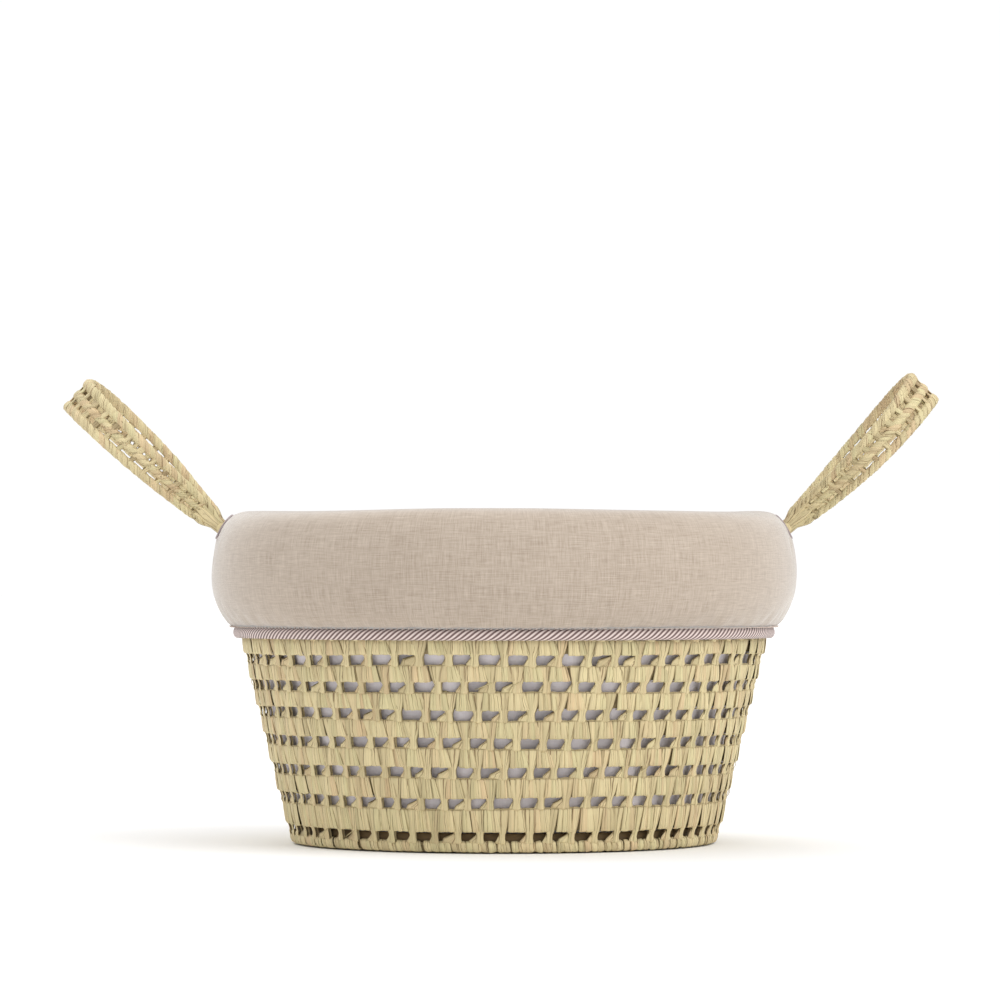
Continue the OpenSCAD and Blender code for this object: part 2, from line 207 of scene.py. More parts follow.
def grid_quads(rows, columns, wrap_rows=False, wrap_columns=False):
    """Point numbers of a grid's quads, row by row and closed along either side if asked, with the row and the
    column of each."""
    i = np.arange(rows if wrap_rows else rows - 1)
    j = np.arange(columns if wrap_columns else columns - 1)
    i, j = [a.ravel() for a in np.meshgrid(i, j, indexing="ij")]
    a, b = (i + 1) % rows, (j + 1) % columns
    return np.stack([i * columns + j, a * columns + j, a * columns + b, i * columns + b], 1), i, j


def grid_surface(name, points, wrap_rows=False, wrap_columns=False, scale=(1, 1), keep=None):
    """A surface through a grid of points (rows, columns, 3), facing rows times columns. The uv map runs along
    the rows and columns from 0, times scale, and goes on evenly over a closed seam."""
    rows, columns = points.shape[:2]
    quads, i, j = grid_quads(rows, columns, wrap_rows, wrap_columns)
    di, dj = np.array([0, 1, 1, 0]), np.array([0, 0, 1, 1])
    u = (i[:, None] + di) / (rows if wrap_rows else rows - 1) * scale[0]
    v = (j[:, None] + dj) / (columns if wrap_columns else columns - 1) * scale[1]
    uv = np.stack([u, v], 2)
    if keep is not None:
        quads, uv = quads[keep], uv[keep]
    return mesh_object(name, points.reshape(-1, 3), quads, uv)


def weld(obj):
    """Merges points that lie together, so that a pole or seam is closed."""
    shape = bmesh.new()
    shape.from_mesh(obj.data)
    bmesh.ops.remove_doubles(shape, verts=shape.verts, dist=1e-6)
    shape.to_mesh(obj.data)
    shape.free()
    return obj


ACROSS = np.array([-1.0, -0.6, 0.0, 0.6, 1.0, 0.0])
FRONT = np.array([0.0, 0.72, 1.0, 0.72, 0.0, 0.0])
BACK = np.array([0.0, 0.5, 0.5, 0.5, 0.0, -0.5])
AROUND = len(ACROSS)


class Leaves:
    """Gathers folded leaves. Each is a closed flat tube carried along a line of points: across it lie five
    points of a low crown and one of the back, so that it has only a few dozen faces."""

    def __init__(self):
        self.points, self.quads, self.uv, self.tone, self.count = [], [], [], [], 0

    def add(self, centre, normal, half, crown, thick, tone, tilt=0.0):
        """centre and normal (n, s, 3), half width (n, s), crown and thick numbers or (n, s), tone (n, 3) and
        tilt (n,), the slope across the leaf. Across = normal x along; face = along x across."""
        n, s = centre.shape[:2]
        along = unit(np.gradient(centre, axis=1))
        across = unit(np.cross(normal, along))
        face = np.cross(along, across)
        crown = np.broadcast_to(np.asarray(crown, float), (n, s))[:, :, None]
        thick = np.broadcast_to(np.asarray(thick, float), (n, s))[:, :, None]
        tilt = np.broadcast_to(np.asarray(tilt, float), (n,))[:, None, None]
        side = half[:, :, None] * ACROSS
        rise = crown * FRONT + thick * BACK + tilt * side
        points = centre[:, :, None] + across[:, :, None] * side[..., None]
        points = points + face[:, :, None] * rise[..., None]
        caps = np.array([[0, 1, 2, 5], [5, 2, 3, 4]])
        caps = np.vstack([caps, (s - 1) * AROUND + caps[:, ::-1]])
        quads = np.vstack([grid_quads(s, AROUND, False, True)[0], caps])
        level = np.repeat(np.arange(s) / (s - 1), AROUND)
        spot = np.tile((ACROSS + 1) / 2, s)
        uv = np.stack([spot, level], 1)[quads]
        start = self.count + np.arange(n)[:, None, None] * s * AROUND
        self.points.append(points.reshape(-1, 3))
        self.quads.append((quads[None] + start).reshape(-1, 4))
        self.uv.append(np.broadcast_to(uv, (n, *uv.shape)).reshape(-1, 4, 2))
        colour = np.concatenate([tone, np.ones((n, 1))], 1)
        self.tone.append(np.repeat(colour, s * AROUND, axis=0))
        self.count += n * s * AROUND

    def core(self, points, dark):
        """A closed ring swept through a grid of points (around, section, 3), as the core of a coil darkened by dark
        as painted shade, or as a thin line in its own colour.
        """
        rows, columns = points.shape[:2]
        quads = grid_quads(rows, columns, True, True)[0]
        self.points.append(points.reshape(-1, 3))
        self.quads.append(quads + self.count)
        self.uv.append(np.full((len(quads), 4, 2), 0.5))
        self.tone.append(np.tile([0.4, dark, 0.5, 1.0], (rows * columns, 1)))
        self.count += rows * columns

    def make(self, name):
        return mesh_object(name, *(np.vstack(part) for part in (self.points, self.quads, self.uv, self.tone)))


def leaf_tones(rng, n, dark=0.0, spread=0.25):
    """Hue choice, shading and a random place in the grain for n leaves."""
    return np.stack([rng.random(n), np.clip(dark + spread * rng.random(n) ** 2, 0, 1), rng.random(n)], 1)


def round_ring(radius, height, angle):
    """Points at radius and height round the upright axis: radius cos, radius sin, height."""
    return np.stack(np.broadcast_arrays(radius * np.cos(angle), radius * np.sin(angle), height), -1)


def wall_leaf(leaves, angle, shift, out, height, half, crown, thick, tone, tilt=0.0):
    """Lays leaves on the wall. Each has stations: shift along the ring in link spacings, out from the wall and
    height; the face looks to the left of the way it runs in the plane of out and height."""
    n, s = shift.shape
    step = 2 * math.pi / LINKS
    turn = angle[:, None] + shift * step
    radius = wall_radius(height) + out
    run_r, run_z = np.gradient(radius, axis=1), np.gradient(np.broadcast_to(height, (n, s)), axis=1)
    size = np.maximum(np.hypot(run_r, run_z), 1e-9)
    normal = round_ring(-run_z / size, run_r / size, turn)
    leaves.add(round_ring(radius, height, turn), normal, half * radius * step, crown, thick, tone, tilt)


def shell_ring(radius_in, radius_out, low, high, around=180):
    """Closed ring with a rectangular section between two radii and two heights, as points (around, 4, 3)."""
    angle = np.linspace(0, 2 * math.pi, around, endpoint=False)[:, None]
    low_in, low_out, high_out, high_in = radius_in[0], radius_out[0], radius_out[1], radius_in[1]
    radius = np.array([low_in, low_out, high_out, high_in])[None]
    height = np.array([low, low, high, high])[None]
    return round_ring(radius, height, angle)


# ---- materials ----


def add_node(tree, kind, place=(0, 0), **values):
    """A node of that kind. Each value is for the input of that name, with underscores for its spaces, or for a
    setting, written with a leading underscore."""
    node = tree.nodes.new(kind)
    node.location = place
    for key, value in values.items():
        if key.startswith("_"):
            setattr(node, key[1:], value)
        elif isinstance(value, bpy.types.NodeSocket):
            tree.links.new(value, node.inputs[key.replace("_", " ")])
        else:
            node.inputs[key.replace("_", " ")].default_value = value
    return node


def math_node(tree, operation, a, b=None, clamp=False):
    node = tree.nodes.new("ShaderNodeMath")
    node.operation, node.use_clamp = operation, clamp
    for socket, value in zip(node.inputs, (a, b)):
        if isinstance(value, bpy.types.NodeSocket):
            tree.links.new(value, socket)
        elif value is not None:
            socket.default_value = value
    return node.outputs[0]


def plus(tree, a, b, clamp=False):
    return math_node(tree, "ADD", a, b, clamp)


def minus(tree, a, b):
    return math_node(tree, "SUBTRACT", a, b)


def times(tree, a, b):
    return math_node(tree, "MULTIPLY", a, b)


def mix_colour(tree, factor, a, b, blend="MIX"):
    node = tree.nodes.new("ShaderNodeMix")
    node.data_type, node.blend_type = "RGBA", blend
    for socket, value in ((node.inputs[0], factor), (node.inputs[6], a), (node.inputs[7], b)):
        if isinstance(value, bpy.types.NodeSocket):
            tree.links.new(value, socket)
        else:
            socket.default_value = value
    return node.outputs[2]


def ramp(tree, value, low, high, out_low=0.0, out_high=1.0):
    node = add_node(tree, "ShaderNodeMapRange", _clamp=True)
    for socket, v in zip(node.inputs, (value, low, high, out_low, out_high)):
        if isinstance(v, bpy.types.NodeSocket):
            tree.links.new(v, socket)
        else:
            socket.default_value = v
    return node.outputs[0]


def vector_scale(tree, vector, scale, offset=None):
    """The vector times scale, plus offset if one is given."""
    node = tree.nodes.new("ShaderNodeVectorMath")
    node.operation = "MULTIPLY_ADD" if offset is not None else "MULTIPLY"
    tree.links.new(vector, node.inputs[0])
    node.inputs[1].default_value = scale
    if offset is not None:
        tree.links.new(offset, node.inputs[2])
    return node.outputs[0]


def noise(tree, vector, scale, detail=3.0, rough=0.55):
    node = add_node(tree, "ShaderNodeTexNoise", Vector=vector, Scale=scale, Detail=detail, Roughness=rough)
    return node.outputs["Fac"]


def tint(tree, colour, level):
    """The colour times a grey of that level."""
    grey = add_node(tree, "ShaderNodeCombineXYZ", X=level, Y=level, Z=level).outputs[0]
    return mix_colour(tree, 1.0, colour, grey, "MULTIPLY")


def own_map(tree):
    return add_node(tree, "ShaderNodeUVMap", _uv_map="along").outputs[0]


def own_place(tree, scale):
    """Place on the object, in metres times scale."""
    return vector_scale(tree, add_node(tree, "ShaderNodeTexCoord").outputs["Object"], scale)


def new_material(name, rough, gloss=0.5, sheen=0.0):
    """A material of one Principled shader, with its tree and that shader."""
    material = bpy.data.materials.new(name)
    material.use_nodes = True
    tree = material.node_tree
    tree.nodes.clear()
    shader = add_node(tree, "ShaderNodeBsdfPrincipled", (700, 0), Roughness=rough, Specular_IOR_Level=gloss,
                      Sheen_Weight=sheen)
    tree.links.new(shader.outputs[0], add_node(tree, "ShaderNodeOutputMaterial", (950, 0)).inputs[0])
    return material, tree, shader


def coat(tree, shader, colour, height, strength, distance):
    """Gives a shader its colour and bumps its surface by a height."""
    bump = add_node(tree, "ShaderNodeBump", Strength=strength, Distance=distance, Height=height)
    tree.links.new(colour, shader.inputs["Base Color"])
    tree.links.new(bump.outputs[0], shader.inputs["Normal"])


def new_group(name, inputs, outputs):
    """An empty shader node group with those named inputs and outputs, or the one made before."""
    group = bpy.data.node_groups.get(name)
    if group:
        return group, None, None
    group = bpy.data.node_groups.new(name, "ShaderNodeTree")
    for label, kind, value in inputs:
        socket = group.interface.new_socket(name=label, in_out="INPUT", socket_type=kind)
        if value is not None:
            socket.default_value = value
    for label, kind in outputs:
        group.interface.new_socket(name=label, in_out="OUTPUT", socket_type=kind)
    return group, group.nodes.new("NodeGroupInput"), group.nodes.new("NodeGroupOutput")


def leaf_grain():
    """Group: colour and height of dried palm leaf from a place on the leaf and a tone of hue, shade and chance.
    Long grain lines run along the leaf and three leaf colours are mixed; Shade, partly random tone and partly painted
    shade, and Edge, painted shade along the leaf's sides and top and darkening at its ends, draw it towards the
    crevice colour. Two splits run down the leaf, at chance and at seven times chance plus 0.35, each times its whole
    width."""
    group, given, out = new_group(
        "leaf grain",
        [("Place", "NodeSocketVector", None), ("Hue", "NodeSocketFloat", 0.5), ("Shade", "NodeSocketFloat", 0.0),
         ("Chance", "NodeSocketFloat", 0.5), ("Straw", "NodeSocketColor", None), ("Green", "NodeSocketColor", None),
         ("Rosy", "NodeSocketColor", None), ("Crevice", "NodeSocketColor", None),
         ("Edge", "NodeSocketFloat", 0.0), ("Split", "NodeSocketFloat", 0.1)],
        [("Colour", "NodeSocketColor"), ("Height", "NodeSocketFloat")])
    if given is None:
        return group
    g = given.outputs
    spin_x, spin_y = times(group, g["Chance"], 61.0), times(group, g["Chance"], 37.0)
    spin = add_node(group, "ShaderNodeCombineXYZ", X=spin_x, Y=spin_y)
    fine, broad, patch = (
        noise(group, vector_scale(group, g["Place"], scale, spin.outputs[0]), 1.0, detail, rough)
        for scale, detail, rough in (((9.0, 0.9, 1.0), 3.0, 0.6), ((2.6, 0.6, 1.0), 2.0, 0.5), ((1.2, 2.4, 1.0), 2.0, 0.5)))
    hue = plus(group, g["Hue"], times(group, minus(group, broad, 0.5), 0.5))
    base = mix_colour(group, ramp(group, hue, 0.50, 0.18), g["Straw"], g["Green"])
    base = mix_colour(group, ramp(group, hue, 0.72, 1.0), base, g["Rosy"])
    base = tint(group, base, ramp(group, fine, 0.36, 0.62, 0.86, 1.08))
    across = add_node(group, "ShaderNodeSeparateXYZ", Vector=g["Place"]).outputs[0]
    wobble = times(group, minus(group, patch, 0.5), 0.5)
    for rate, first, depth in ((1.0, 0.0, 0.8), (7.0, 0.35, 0.45)):
        spot = math_node(group, "FRACT", plus(group, times(group, g["Chance"], rate), first))
        off = math_node(group, "ABSOLUTE", minus(group, across, plus(group, wobble, spot)))
        thin = math_node(group, "DIVIDE", off, math_node(group, "MAXIMUM", g["Split"], 0.02))
        base = mix_colour(group, ramp(group, thin, 0.075, 0.025, 0.0, depth), base, g["Crevice"])
    base = mix_colour(group, times(group, ramp(group, patch, 0.60, 0.74), 0.38), base, g["Rosy"])
    # painted shade: Shade and Edge draw the leaf's colour towards the crevice colour
    dark = math_node(group, "MAXIMUM", g["Shade"], g["Edge"], True)
    group.links.new(mix_colour(group, dark, base, g["Crevice"]), out.inputs["Colour"])
    group.links.new(plus(group, fine, broad), out.inputs["Height"])
    return group


def leaf_material(name, on_leaf=True, hue_shift=0.0, pale=0.0, creases=1.0):
    """Dried palm leaf. on_leaf reads the leaf's own map and tone; otherwise the grain comes from the place."""
    known = bpy.data.materials.get(name)
    if known:
        return known
    material, tree, shader = new_material(name, 0.62, 0.32)
    c = colours()
    grain = tree.nodes.new("ShaderNodeGroup")
    grain.node_tree = leaf_grain()
    grain.inputs["Crevice"].default_value = tuple(c.crevice)
    white = np.array([0.86, 0.80, 0.68, 1.0])
    for label, value in (("Straw", c.straw), ("Green", c.green), ("Rosy", c.rosy)):
        grain.inputs[label].default_value = tuple(np.array(value) * (1 - pale) + white * pale)
    if on_leaf:
        place = own_map(tree)
        tone = add_node(tree, "ShaderNodeAttribute", _attribute_name="tone")
        parts = add_node(tree, "ShaderNodeSeparateColor", Color=tone.outputs["Color"])
        across, down, _ = add_node(tree, "ShaderNodeSeparateXYZ", Vector=place).outputs
        tree.links.new(plus(tree, parts.outputs[0], hue_shift), grain.inputs["Hue"])
        tree.links.new(parts.outputs[1], grain.inputs["Shade"])
        tree.links.new(parts.outputs[2], grain.inputs["Chance"])
        # painted shade along both sides, in the crevices where the pleats overlap, stronger at the top; darker at the
        # leaf's two ends; and painted shade over the top, where the leaf tucks under the stitched line
        rim = math_node(tree, "ABSOLUTE", minus(tree, across, 0.5))
        side = times(tree, ramp(tree, rim, 0.445, 0.49), ramp(tree, down, 0.15, 0.8, 0.95, 0.40))
        end = math_node(tree, "ABSOLUTE", minus(tree, down, 0.5))
        edge = math_node(tree, "MAXIMUM", side, ramp(tree, end, 0.40, 0.5, 0.0, 0.6))
        # painted shade: the top of each leaf darkened where it lies under the stitched line
        edge = math_node(tree, "MAXIMUM", edge, ramp(tree, down, 0.45, 0.10, 0.0, 0.16))
        tree.links.new(edge, grain.inputs["Edge"])
        tree.links.new(ramp(tree, down, 0.95, 0.1, 0.05 * creases, creases), grain.inputs["Split"])
    else:
        place = own_place(tree, (70.0, 70.0, 25.0))
        tree.links.new(noise(tree, place, 0.6, 2.0), grain.inputs["Hue"])
    tree.links.new(place, grain.inputs["Place"])
    coat(tree, shader, grain.outputs["Colour"], grain.outputs["Height"], 0.35, 0.0003)
    return material


def cloth_weave():
    """Group: colour and height of plain-woven slub cloth. Place is in metres along weft and warp; Threads is the
    number of threads in a metre, slubs show as short streaks both ways, and Cloud is the strength of broad
    clouding. The height's threads are the sine one way times the sine the other."""
    group, given, out = new_group(
        "cloth weave",
        [("Place", "NodeSocketVector", None), ("Light", "NodeSocketColor", None), ("Dark", "NodeSocketColor", None),
         ("Threads", "NodeSocketFloat", 1900.0), ("Slub", "NodeSocketFloat", 1.0), ("Cloud", "NodeSocketFloat", 0.3)],
        [("Colour", "NodeSocketColor"), ("Height", "NodeSocketFloat")])
    if given is None:
        return group
    g = given.outputs
    weft, warp, broad_weft, broad_warp, cloud = (
        noise(group, vector_scale(group, g["Place"], scale), 1.0, detail, 0.6)
        for scale, detail in (((90.0, 1500.0, 1.0), 2.0), ((1500.0, 90.0, 1.0), 2.0), ((28.0, 420.0, 1.0), 2.0),
                              ((420.0, 28.0, 1.0), 2.0), ((16.0, 16.0, 1.0), 3.0)))
    fine = times(group, plus(group, weft, warp), 0.5)
    wide = times(group, plus(group, broad_weft, broad_warp), 0.5)
    mixed = plus(group, times(group, fine, 0.72), times(group, wide, 0.28))
    mixed = times(group, minus(group, mixed, 0.5), times(group, g["Slub"], 3.7))
    mixed = plus(group, mixed, times(group, minus(group, cloud, 0.5), g["Cloud"]))
    factor = plus(group, mixed, 0.5, True)
    group.links.new(mix_colour(group, factor, g["Dark"], g["Light"]), out.inputs["Colour"])
    along = add_node(group, "ShaderNodeSeparateXYZ", Vector=g["Place"]).outputs
    over, under = (
        math_node(group, "SINE", times(group, along[k], times(group, g["Threads"], math.pi))) for k in (0, 1))
    thread = times(group, times(group, over, under), 0.35)
    group.links.new(plus(group, thread, plus(group, fine, wide)), out.inputs["Height"])
    return group


def cloth_material(name, light, dark, slub=1.0, cloud=0.3, sheen=0.25):
    """Plain-woven cloth whose threads follow the piece's own map, in metres."""
    known = bpy.data.materials.get(name)
    if known:
        return known
    material, tree, shader = new_material(name, 0.9, 0.2, sheen)
    shader.inputs["Sheen Roughness"].default_value = 0.4
    weave = tree.nodes.new("ShaderNodeGroup")
    weave.node_tree = cloth_weave()
    for label, value in (("Light", light), ("Dark", dark), ("Slub", slub), ("Cloud", cloud)):
        weave.inputs[label].default_value = value
    tree.links.new(own_map(tree), weave.inputs["Place"])
    coat(tree, shader, weave.outputs["Colour"], weave.outputs["Height"], 0.25, 0.0004)
    return material


def piping_material():
    """Twisted two-colour cord. The map's first number counts round the basket and the second round the cord;
    the stripe is at the fraction of pitch count times the first less twist times the second."""
    s, c = sizes(), colours()
    material, tree, shader = new_material("piping cord", 0.7, 0.3, 0.2)
    place = own_map(tree)
    parts = add_node(tree, "ShaderNodeSeparateXYZ", Vector=place).outputs
    along, across = times(tree, parts[0], float(s.cord_strands)), times(tree, parts[1], float(s.cord_turns))
    phase = minus(tree, along, across)
    stripe = math_node(tree, "ABSOLUTE", minus(tree, math_node(tree, "FRACT", phase), 0.5))
    colour = mix_colour(tree, ramp(tree, stripe, 0.19, 0.31), tuple(c.cord_pale), tuple(c.cord_dark))
    lay = noise(tree, vector_scale(tree, place, (9000.0, 60.0, 1.0)), 1.0, 2.0)
    coat(tree, shader, tint(tree, colour, ramp(tree, lay, 0.3, 0.7, 0.86, 1.08)), lay, 0.3, 0.0002)
    return material


def fibre_material(name, colour, size, rough=0.95):
    """Loose fibre: fine stretched noise on the place, for wadding and elastic."""
    material, tree, shader = new_material(name, rough)
    tuft = noise(tree, own_place(tree, (size, size, size * 2.5)), 1.0, 5.0, 0.65)
    level = ramp(tree, tuft, 0.3, 0.7, 0.82, 1.05)
    coat(tree, shader, tint(tree, tuple(colour), level), tuft, 0.5, 0.001)
    return material


def settle_cloth(obj, sewn, frames=20, pressure=0.5, growth=0.006):
    """Runs Cloth on a piece held at its sewn points and returns where its points come to rest. Pressure pushes
    along the faces' outward directions, and growth is the share by which the cloth is larger than its place."""
    scene = bpy.context.scene
    held = obj.vertex_groups.new(name="sewn")
    held.add(np.flatnonzero(sewn).tolist(), 1.0, "REPLACE")
    cloth = obj.modifiers.new("settle", "CLOTH")
    cloth.settings.vertex_group_mass = "sewn"
    cloth.settings.quality = 6
    cloth.settings.mass = 0.25
    cloth.settings.tension_stiffness = cloth.settings.compression_stiffness = cloth.settings.shear_stiffness = 12
    cloth.settings.bending_stiffness = 0.6
    cloth.settings.shrink_min = cloth.settings.shrink_max = -growth
    cloth.settings.use_pressure = True
    cloth.settings.uniform_pressure_force = pressure
    cloth.settings.effector_weights.gravity = 0
    cloth.point_cache.frame_start, cloth.point_cache.frame_end = 1, frames
    for frame_number in range(1, frames + 1):
        scene.frame_set(frame_number)
    settled = obj.evaluated_get(bpy.context.evaluated_depsgraph_get()).to_mesh()
    place = np.empty(len(settled.vertices) * 3, np.float32)
    settled.vertices.foreach_get("co", place)
    obj.modifiers.remove(cloth)
    obj.vertex_groups.remove(held)
    scene.frame_set(1)
    return place.reshape(-1, 3).astype(float)


def thicken(obj, thickness):
    """Thickness laid inwards from the surface."""
    thick = obj.modifiers.new("thickness", "SOLIDIFY")
    thick.thickness, thick.offset = thickness, -1


def dress(obj, material, body="basket", nodes=()):
    """Gives a new piece its finish, its body and the frame nodes it stands for."""
    obj.data.materials.clear()
    obj.data.materials.append(material)
    if body:
        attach(obj, body)
    if nodes:
        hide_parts(*nodes)


# ---- the plaited wall ----


def row_wave(rng):
    """Gentle rise and fall of one open row round the basket: two sines of small height."""
    a, b = rng.random(2) * 2 * math.pi
    return lambda angle: 0.00045 * np.sin(2 * angle + a) + 0.00035 * np.sin(5 * angle + b)


def row_links(rng, k):
    """Angles of the links in open row k. Rows are staggered by half a spacing, and each link strays a little."""
    i = np.arange(LINKS)
    return (i + 0.5 * (k % 2) + rng.normal(0, 0.045, LINKS)) * 2 * math.pi / LINKS


def weave_band(k, waves, links):
    """Leaves of band k and of the open row under it. Under each link of the row above hangs a fan of flat pleats,
    narrow at the top and wide at its folded foot. A strap fills the place between two fans, narrows downwards,
    crosses the open row as a link and ends in a knot, with a gusset spread from the link to the lower left."""
    s = sizes()
    name = f"wall_weave_{k}"
    rng = random_for(name)
    low, high = BOX[f"wall_band_{k}"][0][2], BOX[f"wall_band_{k}"][1][2]
    under = BOX[f"wall_band_{k - 1}"][1][2] if k > 1 else BOX["foot_coil"][1][2]
    step = 2 * math.pi / LINKS
    leaves = Leaves()
    fan_at, strap_at = links[k], links[k - 1]

    def levels(angle, shares):
        """Heights at shares of the band, 0 at its foot and 1 at its top; below 0 they go down the open row."""
        z0 = low + 0.0005 + waves[k - 1](angle)[:, None]
        z1 = high - 0.0006 + waves[k](angle)[:, None]
        zu = under - 0.0006 + waves[k - 1](angle)[:, None]
        t = np.asarray(shares)[None]
        return np.where(t >= 0, z0 + t * (z1 - z0), z0 + t * (z0 - zu))

    # fans: the pleats lie like roof tiles, each one's right edge under the next one's left
    number = rng.choice([2, 3, 4], LINKS, p=[0.2, 0.5, 0.3])
    top = s.fan_top * rng.uniform(0.85, 1.12, LINKS)
    foot = s.fan_foot * rng.uniform(0.92, 1.08, LINKS)
    lean = rng.normal(0.045, 0.02, LINKS)
    out_line = np.array([-0.0034, -0.0017, -0.0010, -0.0004, 0.0, 0.0002, -0.0001, -0.0024])
    share_line = np.array([0.98, 1.0, 0.92, 0.62, 0.30, 0.06, 0.025, 0.04])
    down = np.array([0.0, 0.02, 0.08, 0.40, 0.72, 0.97, 1.0, 1.0])
    for m in range(4):
        pick = number > m
        n, count = pick.sum(), number[pick]
        place = ((m + 0.5) / count * 2 - 1)[:, None] + rng.normal(0, 0.06, n)[:, None]
        spread = top[pick, None] + (foot - top)[pick, None] * down ** 0.8
        shift = place * spread + lean[pick, None] * down
        half = spread / count[:, None] * rng.uniform(1.22, 1.5, n)[:, None]
        angle = fan_at[pick]
        height = levels(angle + shift[:, 3] * step, share_line)
        height[:, 4:] += rng.normal(0, 0.00012, n)[:, None]
        out = out_line[None] - 0.00022 * (m - 1) + rng.normal(0, 0.00010, n)[:, None] * (down > 0.05)
        wall_leaf(leaves, angle, shift, out, height, half, s.leaf_crown * rng.uniform(0.3, 0.9, n)[:, None],
                  s.leaf_thick, leaf_tones(rng, n), rng.normal(-0.05, 0.05, n))

    # straps between the fans, then over the open row: two in front and a plain one behind them
    out_line = np.array(
        [-0.0034, -0.0022, -0.0015, -0.0012, -0.0010, -0.0010, -0.0014, -0.0015, -0.0008, -0.0010, -0.0030])
    share_line = np.array([0.98, 1.0, 0.92, 0.60, 0.25, 0.03, -0.22, -0.6, -0.92, -1.08, -1.13])
    down = np.clip(1 - share_line, 0, 2.2)
    wide = np.interp(share_line, [-1.2, -0.9, -0.5, -0.1, 0.1, 0.5, 1], [0.9, 1.2, 0.9, 1.0, 1.45, 2.0, 2.35])
    for m, (place, part, deep) in enumerate(((-0.32, 0.74, 0), (0.36, 0.70, 0), (0.10, 0.80, 0.0021))):
        half = s.strap_foot * wide[None] * part * rng.uniform(0.9, 1.15, LINKS)[:, None]
        stray = rng.normal(0, 0.012, LINKS)[:, None]
        shift = place * s.strap_foot * wide[None] + stray + 0.02 * (1 - down[None])
        out = out_line[None] + m % 2 * 0.00025 - deep + rng.normal(0, 0.0001, LINKS)[:, None]
        # painted shade: the strap behind the others is darker the deeper it lies
        tone = leaf_tones(rng, LINKS, 0.03 + 60 * deep)
        tone[:, 0] = 0.25 + 0.65 * tone[:, 0]
        crown = s.leaf_crown * rng.uniform(0.4, 1.0, LINKS)[:, None]
        wall_leaf(leaves, strap_at, shift, out, levels(strap_at, share_line), half, crown, s.leaf_thick, tone,
                  rng.normal(0, 0.06, LINKS))

    # gussets spread to the lower left of each link
    share_line = np.array([-0.04, -0.3, -0.55, -0.78, -0.94, -1.03, -1.06])
    open_up = np.array([0.0, 0.24, 0.5, 0.76, 0.95, 1.0, 1.0])
    out_line = np.array([-0.0026, -0.0021, -0.0018, -0.0014, -0.0010, -0.0013, -0.0028])
    reach = rng.choice([0.22, 0.38, 0.56], LINKS, p=[0.45, 0.4, 0.15]) * rng.uniform(0.85, 1.15, LINKS)
    half = 0.05 + reach[:, None] * 0.5 * open_up
    shift = -0.05 - reach[:, None] * 0.5 * open_up
    tone = leaf_tones(rng, LINKS, 0.06, 0.3)
    tone[:, 0] = 0.35 + 0.6 * tone[:, 0]
    out = np.broadcast_to(out_line, shift.shape)
    wall_leaf(leaves, strap_at, shift, out, levels(strap_at, share_line), half,
              s.leaf_crown * 0.4, s.leaf_thick, tone, rng.normal(0, 0.04, LINKS))

    # a few loose fibres that have come away across the open row
    n = 6
    at = strap_at[rng.choice(LINKS, n, replace=False)]
    t = np.linspace(0, 1, 7)[None]
    shift = rng.uniform(0.1, 0.2, n)[:, None] + t * rng.uniform(-0.75, -0.4, n)[:, None]
    height = levels(at, np.zeros(7)) + t * (under - low) * rng.uniform(0.7, 1.0, n)[:, None]
    out = -0.0006 + 0.0012 * np.sin(math.pi * t) * rng.uniform(0.2, 1.0, n)[:, None]
    half = np.broadcast_to(0.018 * np.sin(math.pi * (0.12 + 0.8 * t)), shift.shape)
    wall_leaf(leaves, at, shift, out, height, half, 0.00015, 0.0003, leaf_tones(rng, n))

    # core behind the leaves, darkened as painted shade, and the stitched line along the top of the band in its own
    # brown
    z = np.array([low + 0.0015, high - 0.0012])
    r = wall_radius(z)
    leaves.core(shell_ring(r - BAND_T + 0.0001, r - 0.0021, z[0], z[1]), 0.55)
    turn = np.linspace(0, 2 * math.pi, 480, endpoint=False)[:, None]
    strays = np.append(rng.normal(0, 0.00016, 240), 0)
    wander = np.interp(turn.ravel(), np.linspace(0, 2 * math.pi, 241), strays)[:, None]
    phi = np.linspace(0, 2 * math.pi, 4, endpoint=False)[None]
    height = high + waves[k](turn) + wander - 0.0007
    line = round_ring(wall_radius(height) - 0.0010 + 0.00045 * np.cos(phi), height + 0.00032 * np.sin(phi), turn)
    leaves.core(line, 0.42)
    dress(leaves.make(name), leaf_material("palm leaf, plaited"),
          nodes=[f"wall_band_{k}", f"link_row_{k - 1}"])


class BASKET_OT_weave_wall(Operator):
    """Plait the ten bands of the wall and the links in their open rows"""
    bl_idname = "basket.weave_wall"
    bl_label = "Weave wall"

    def execute(self, context):
        rng = random_for("rows")
        count = len(BANDS)
        waves = [row_wave(rng) for _ in range(count + 1)]
        waves[0] = waves[count] = lambda angle: 0 * angle
        links = [row_links(rng, k) for k in range(count + 1)]
        for k in range(1, count + 1):
            weave_band(k, waves, links)
        return {"FINISHED"}


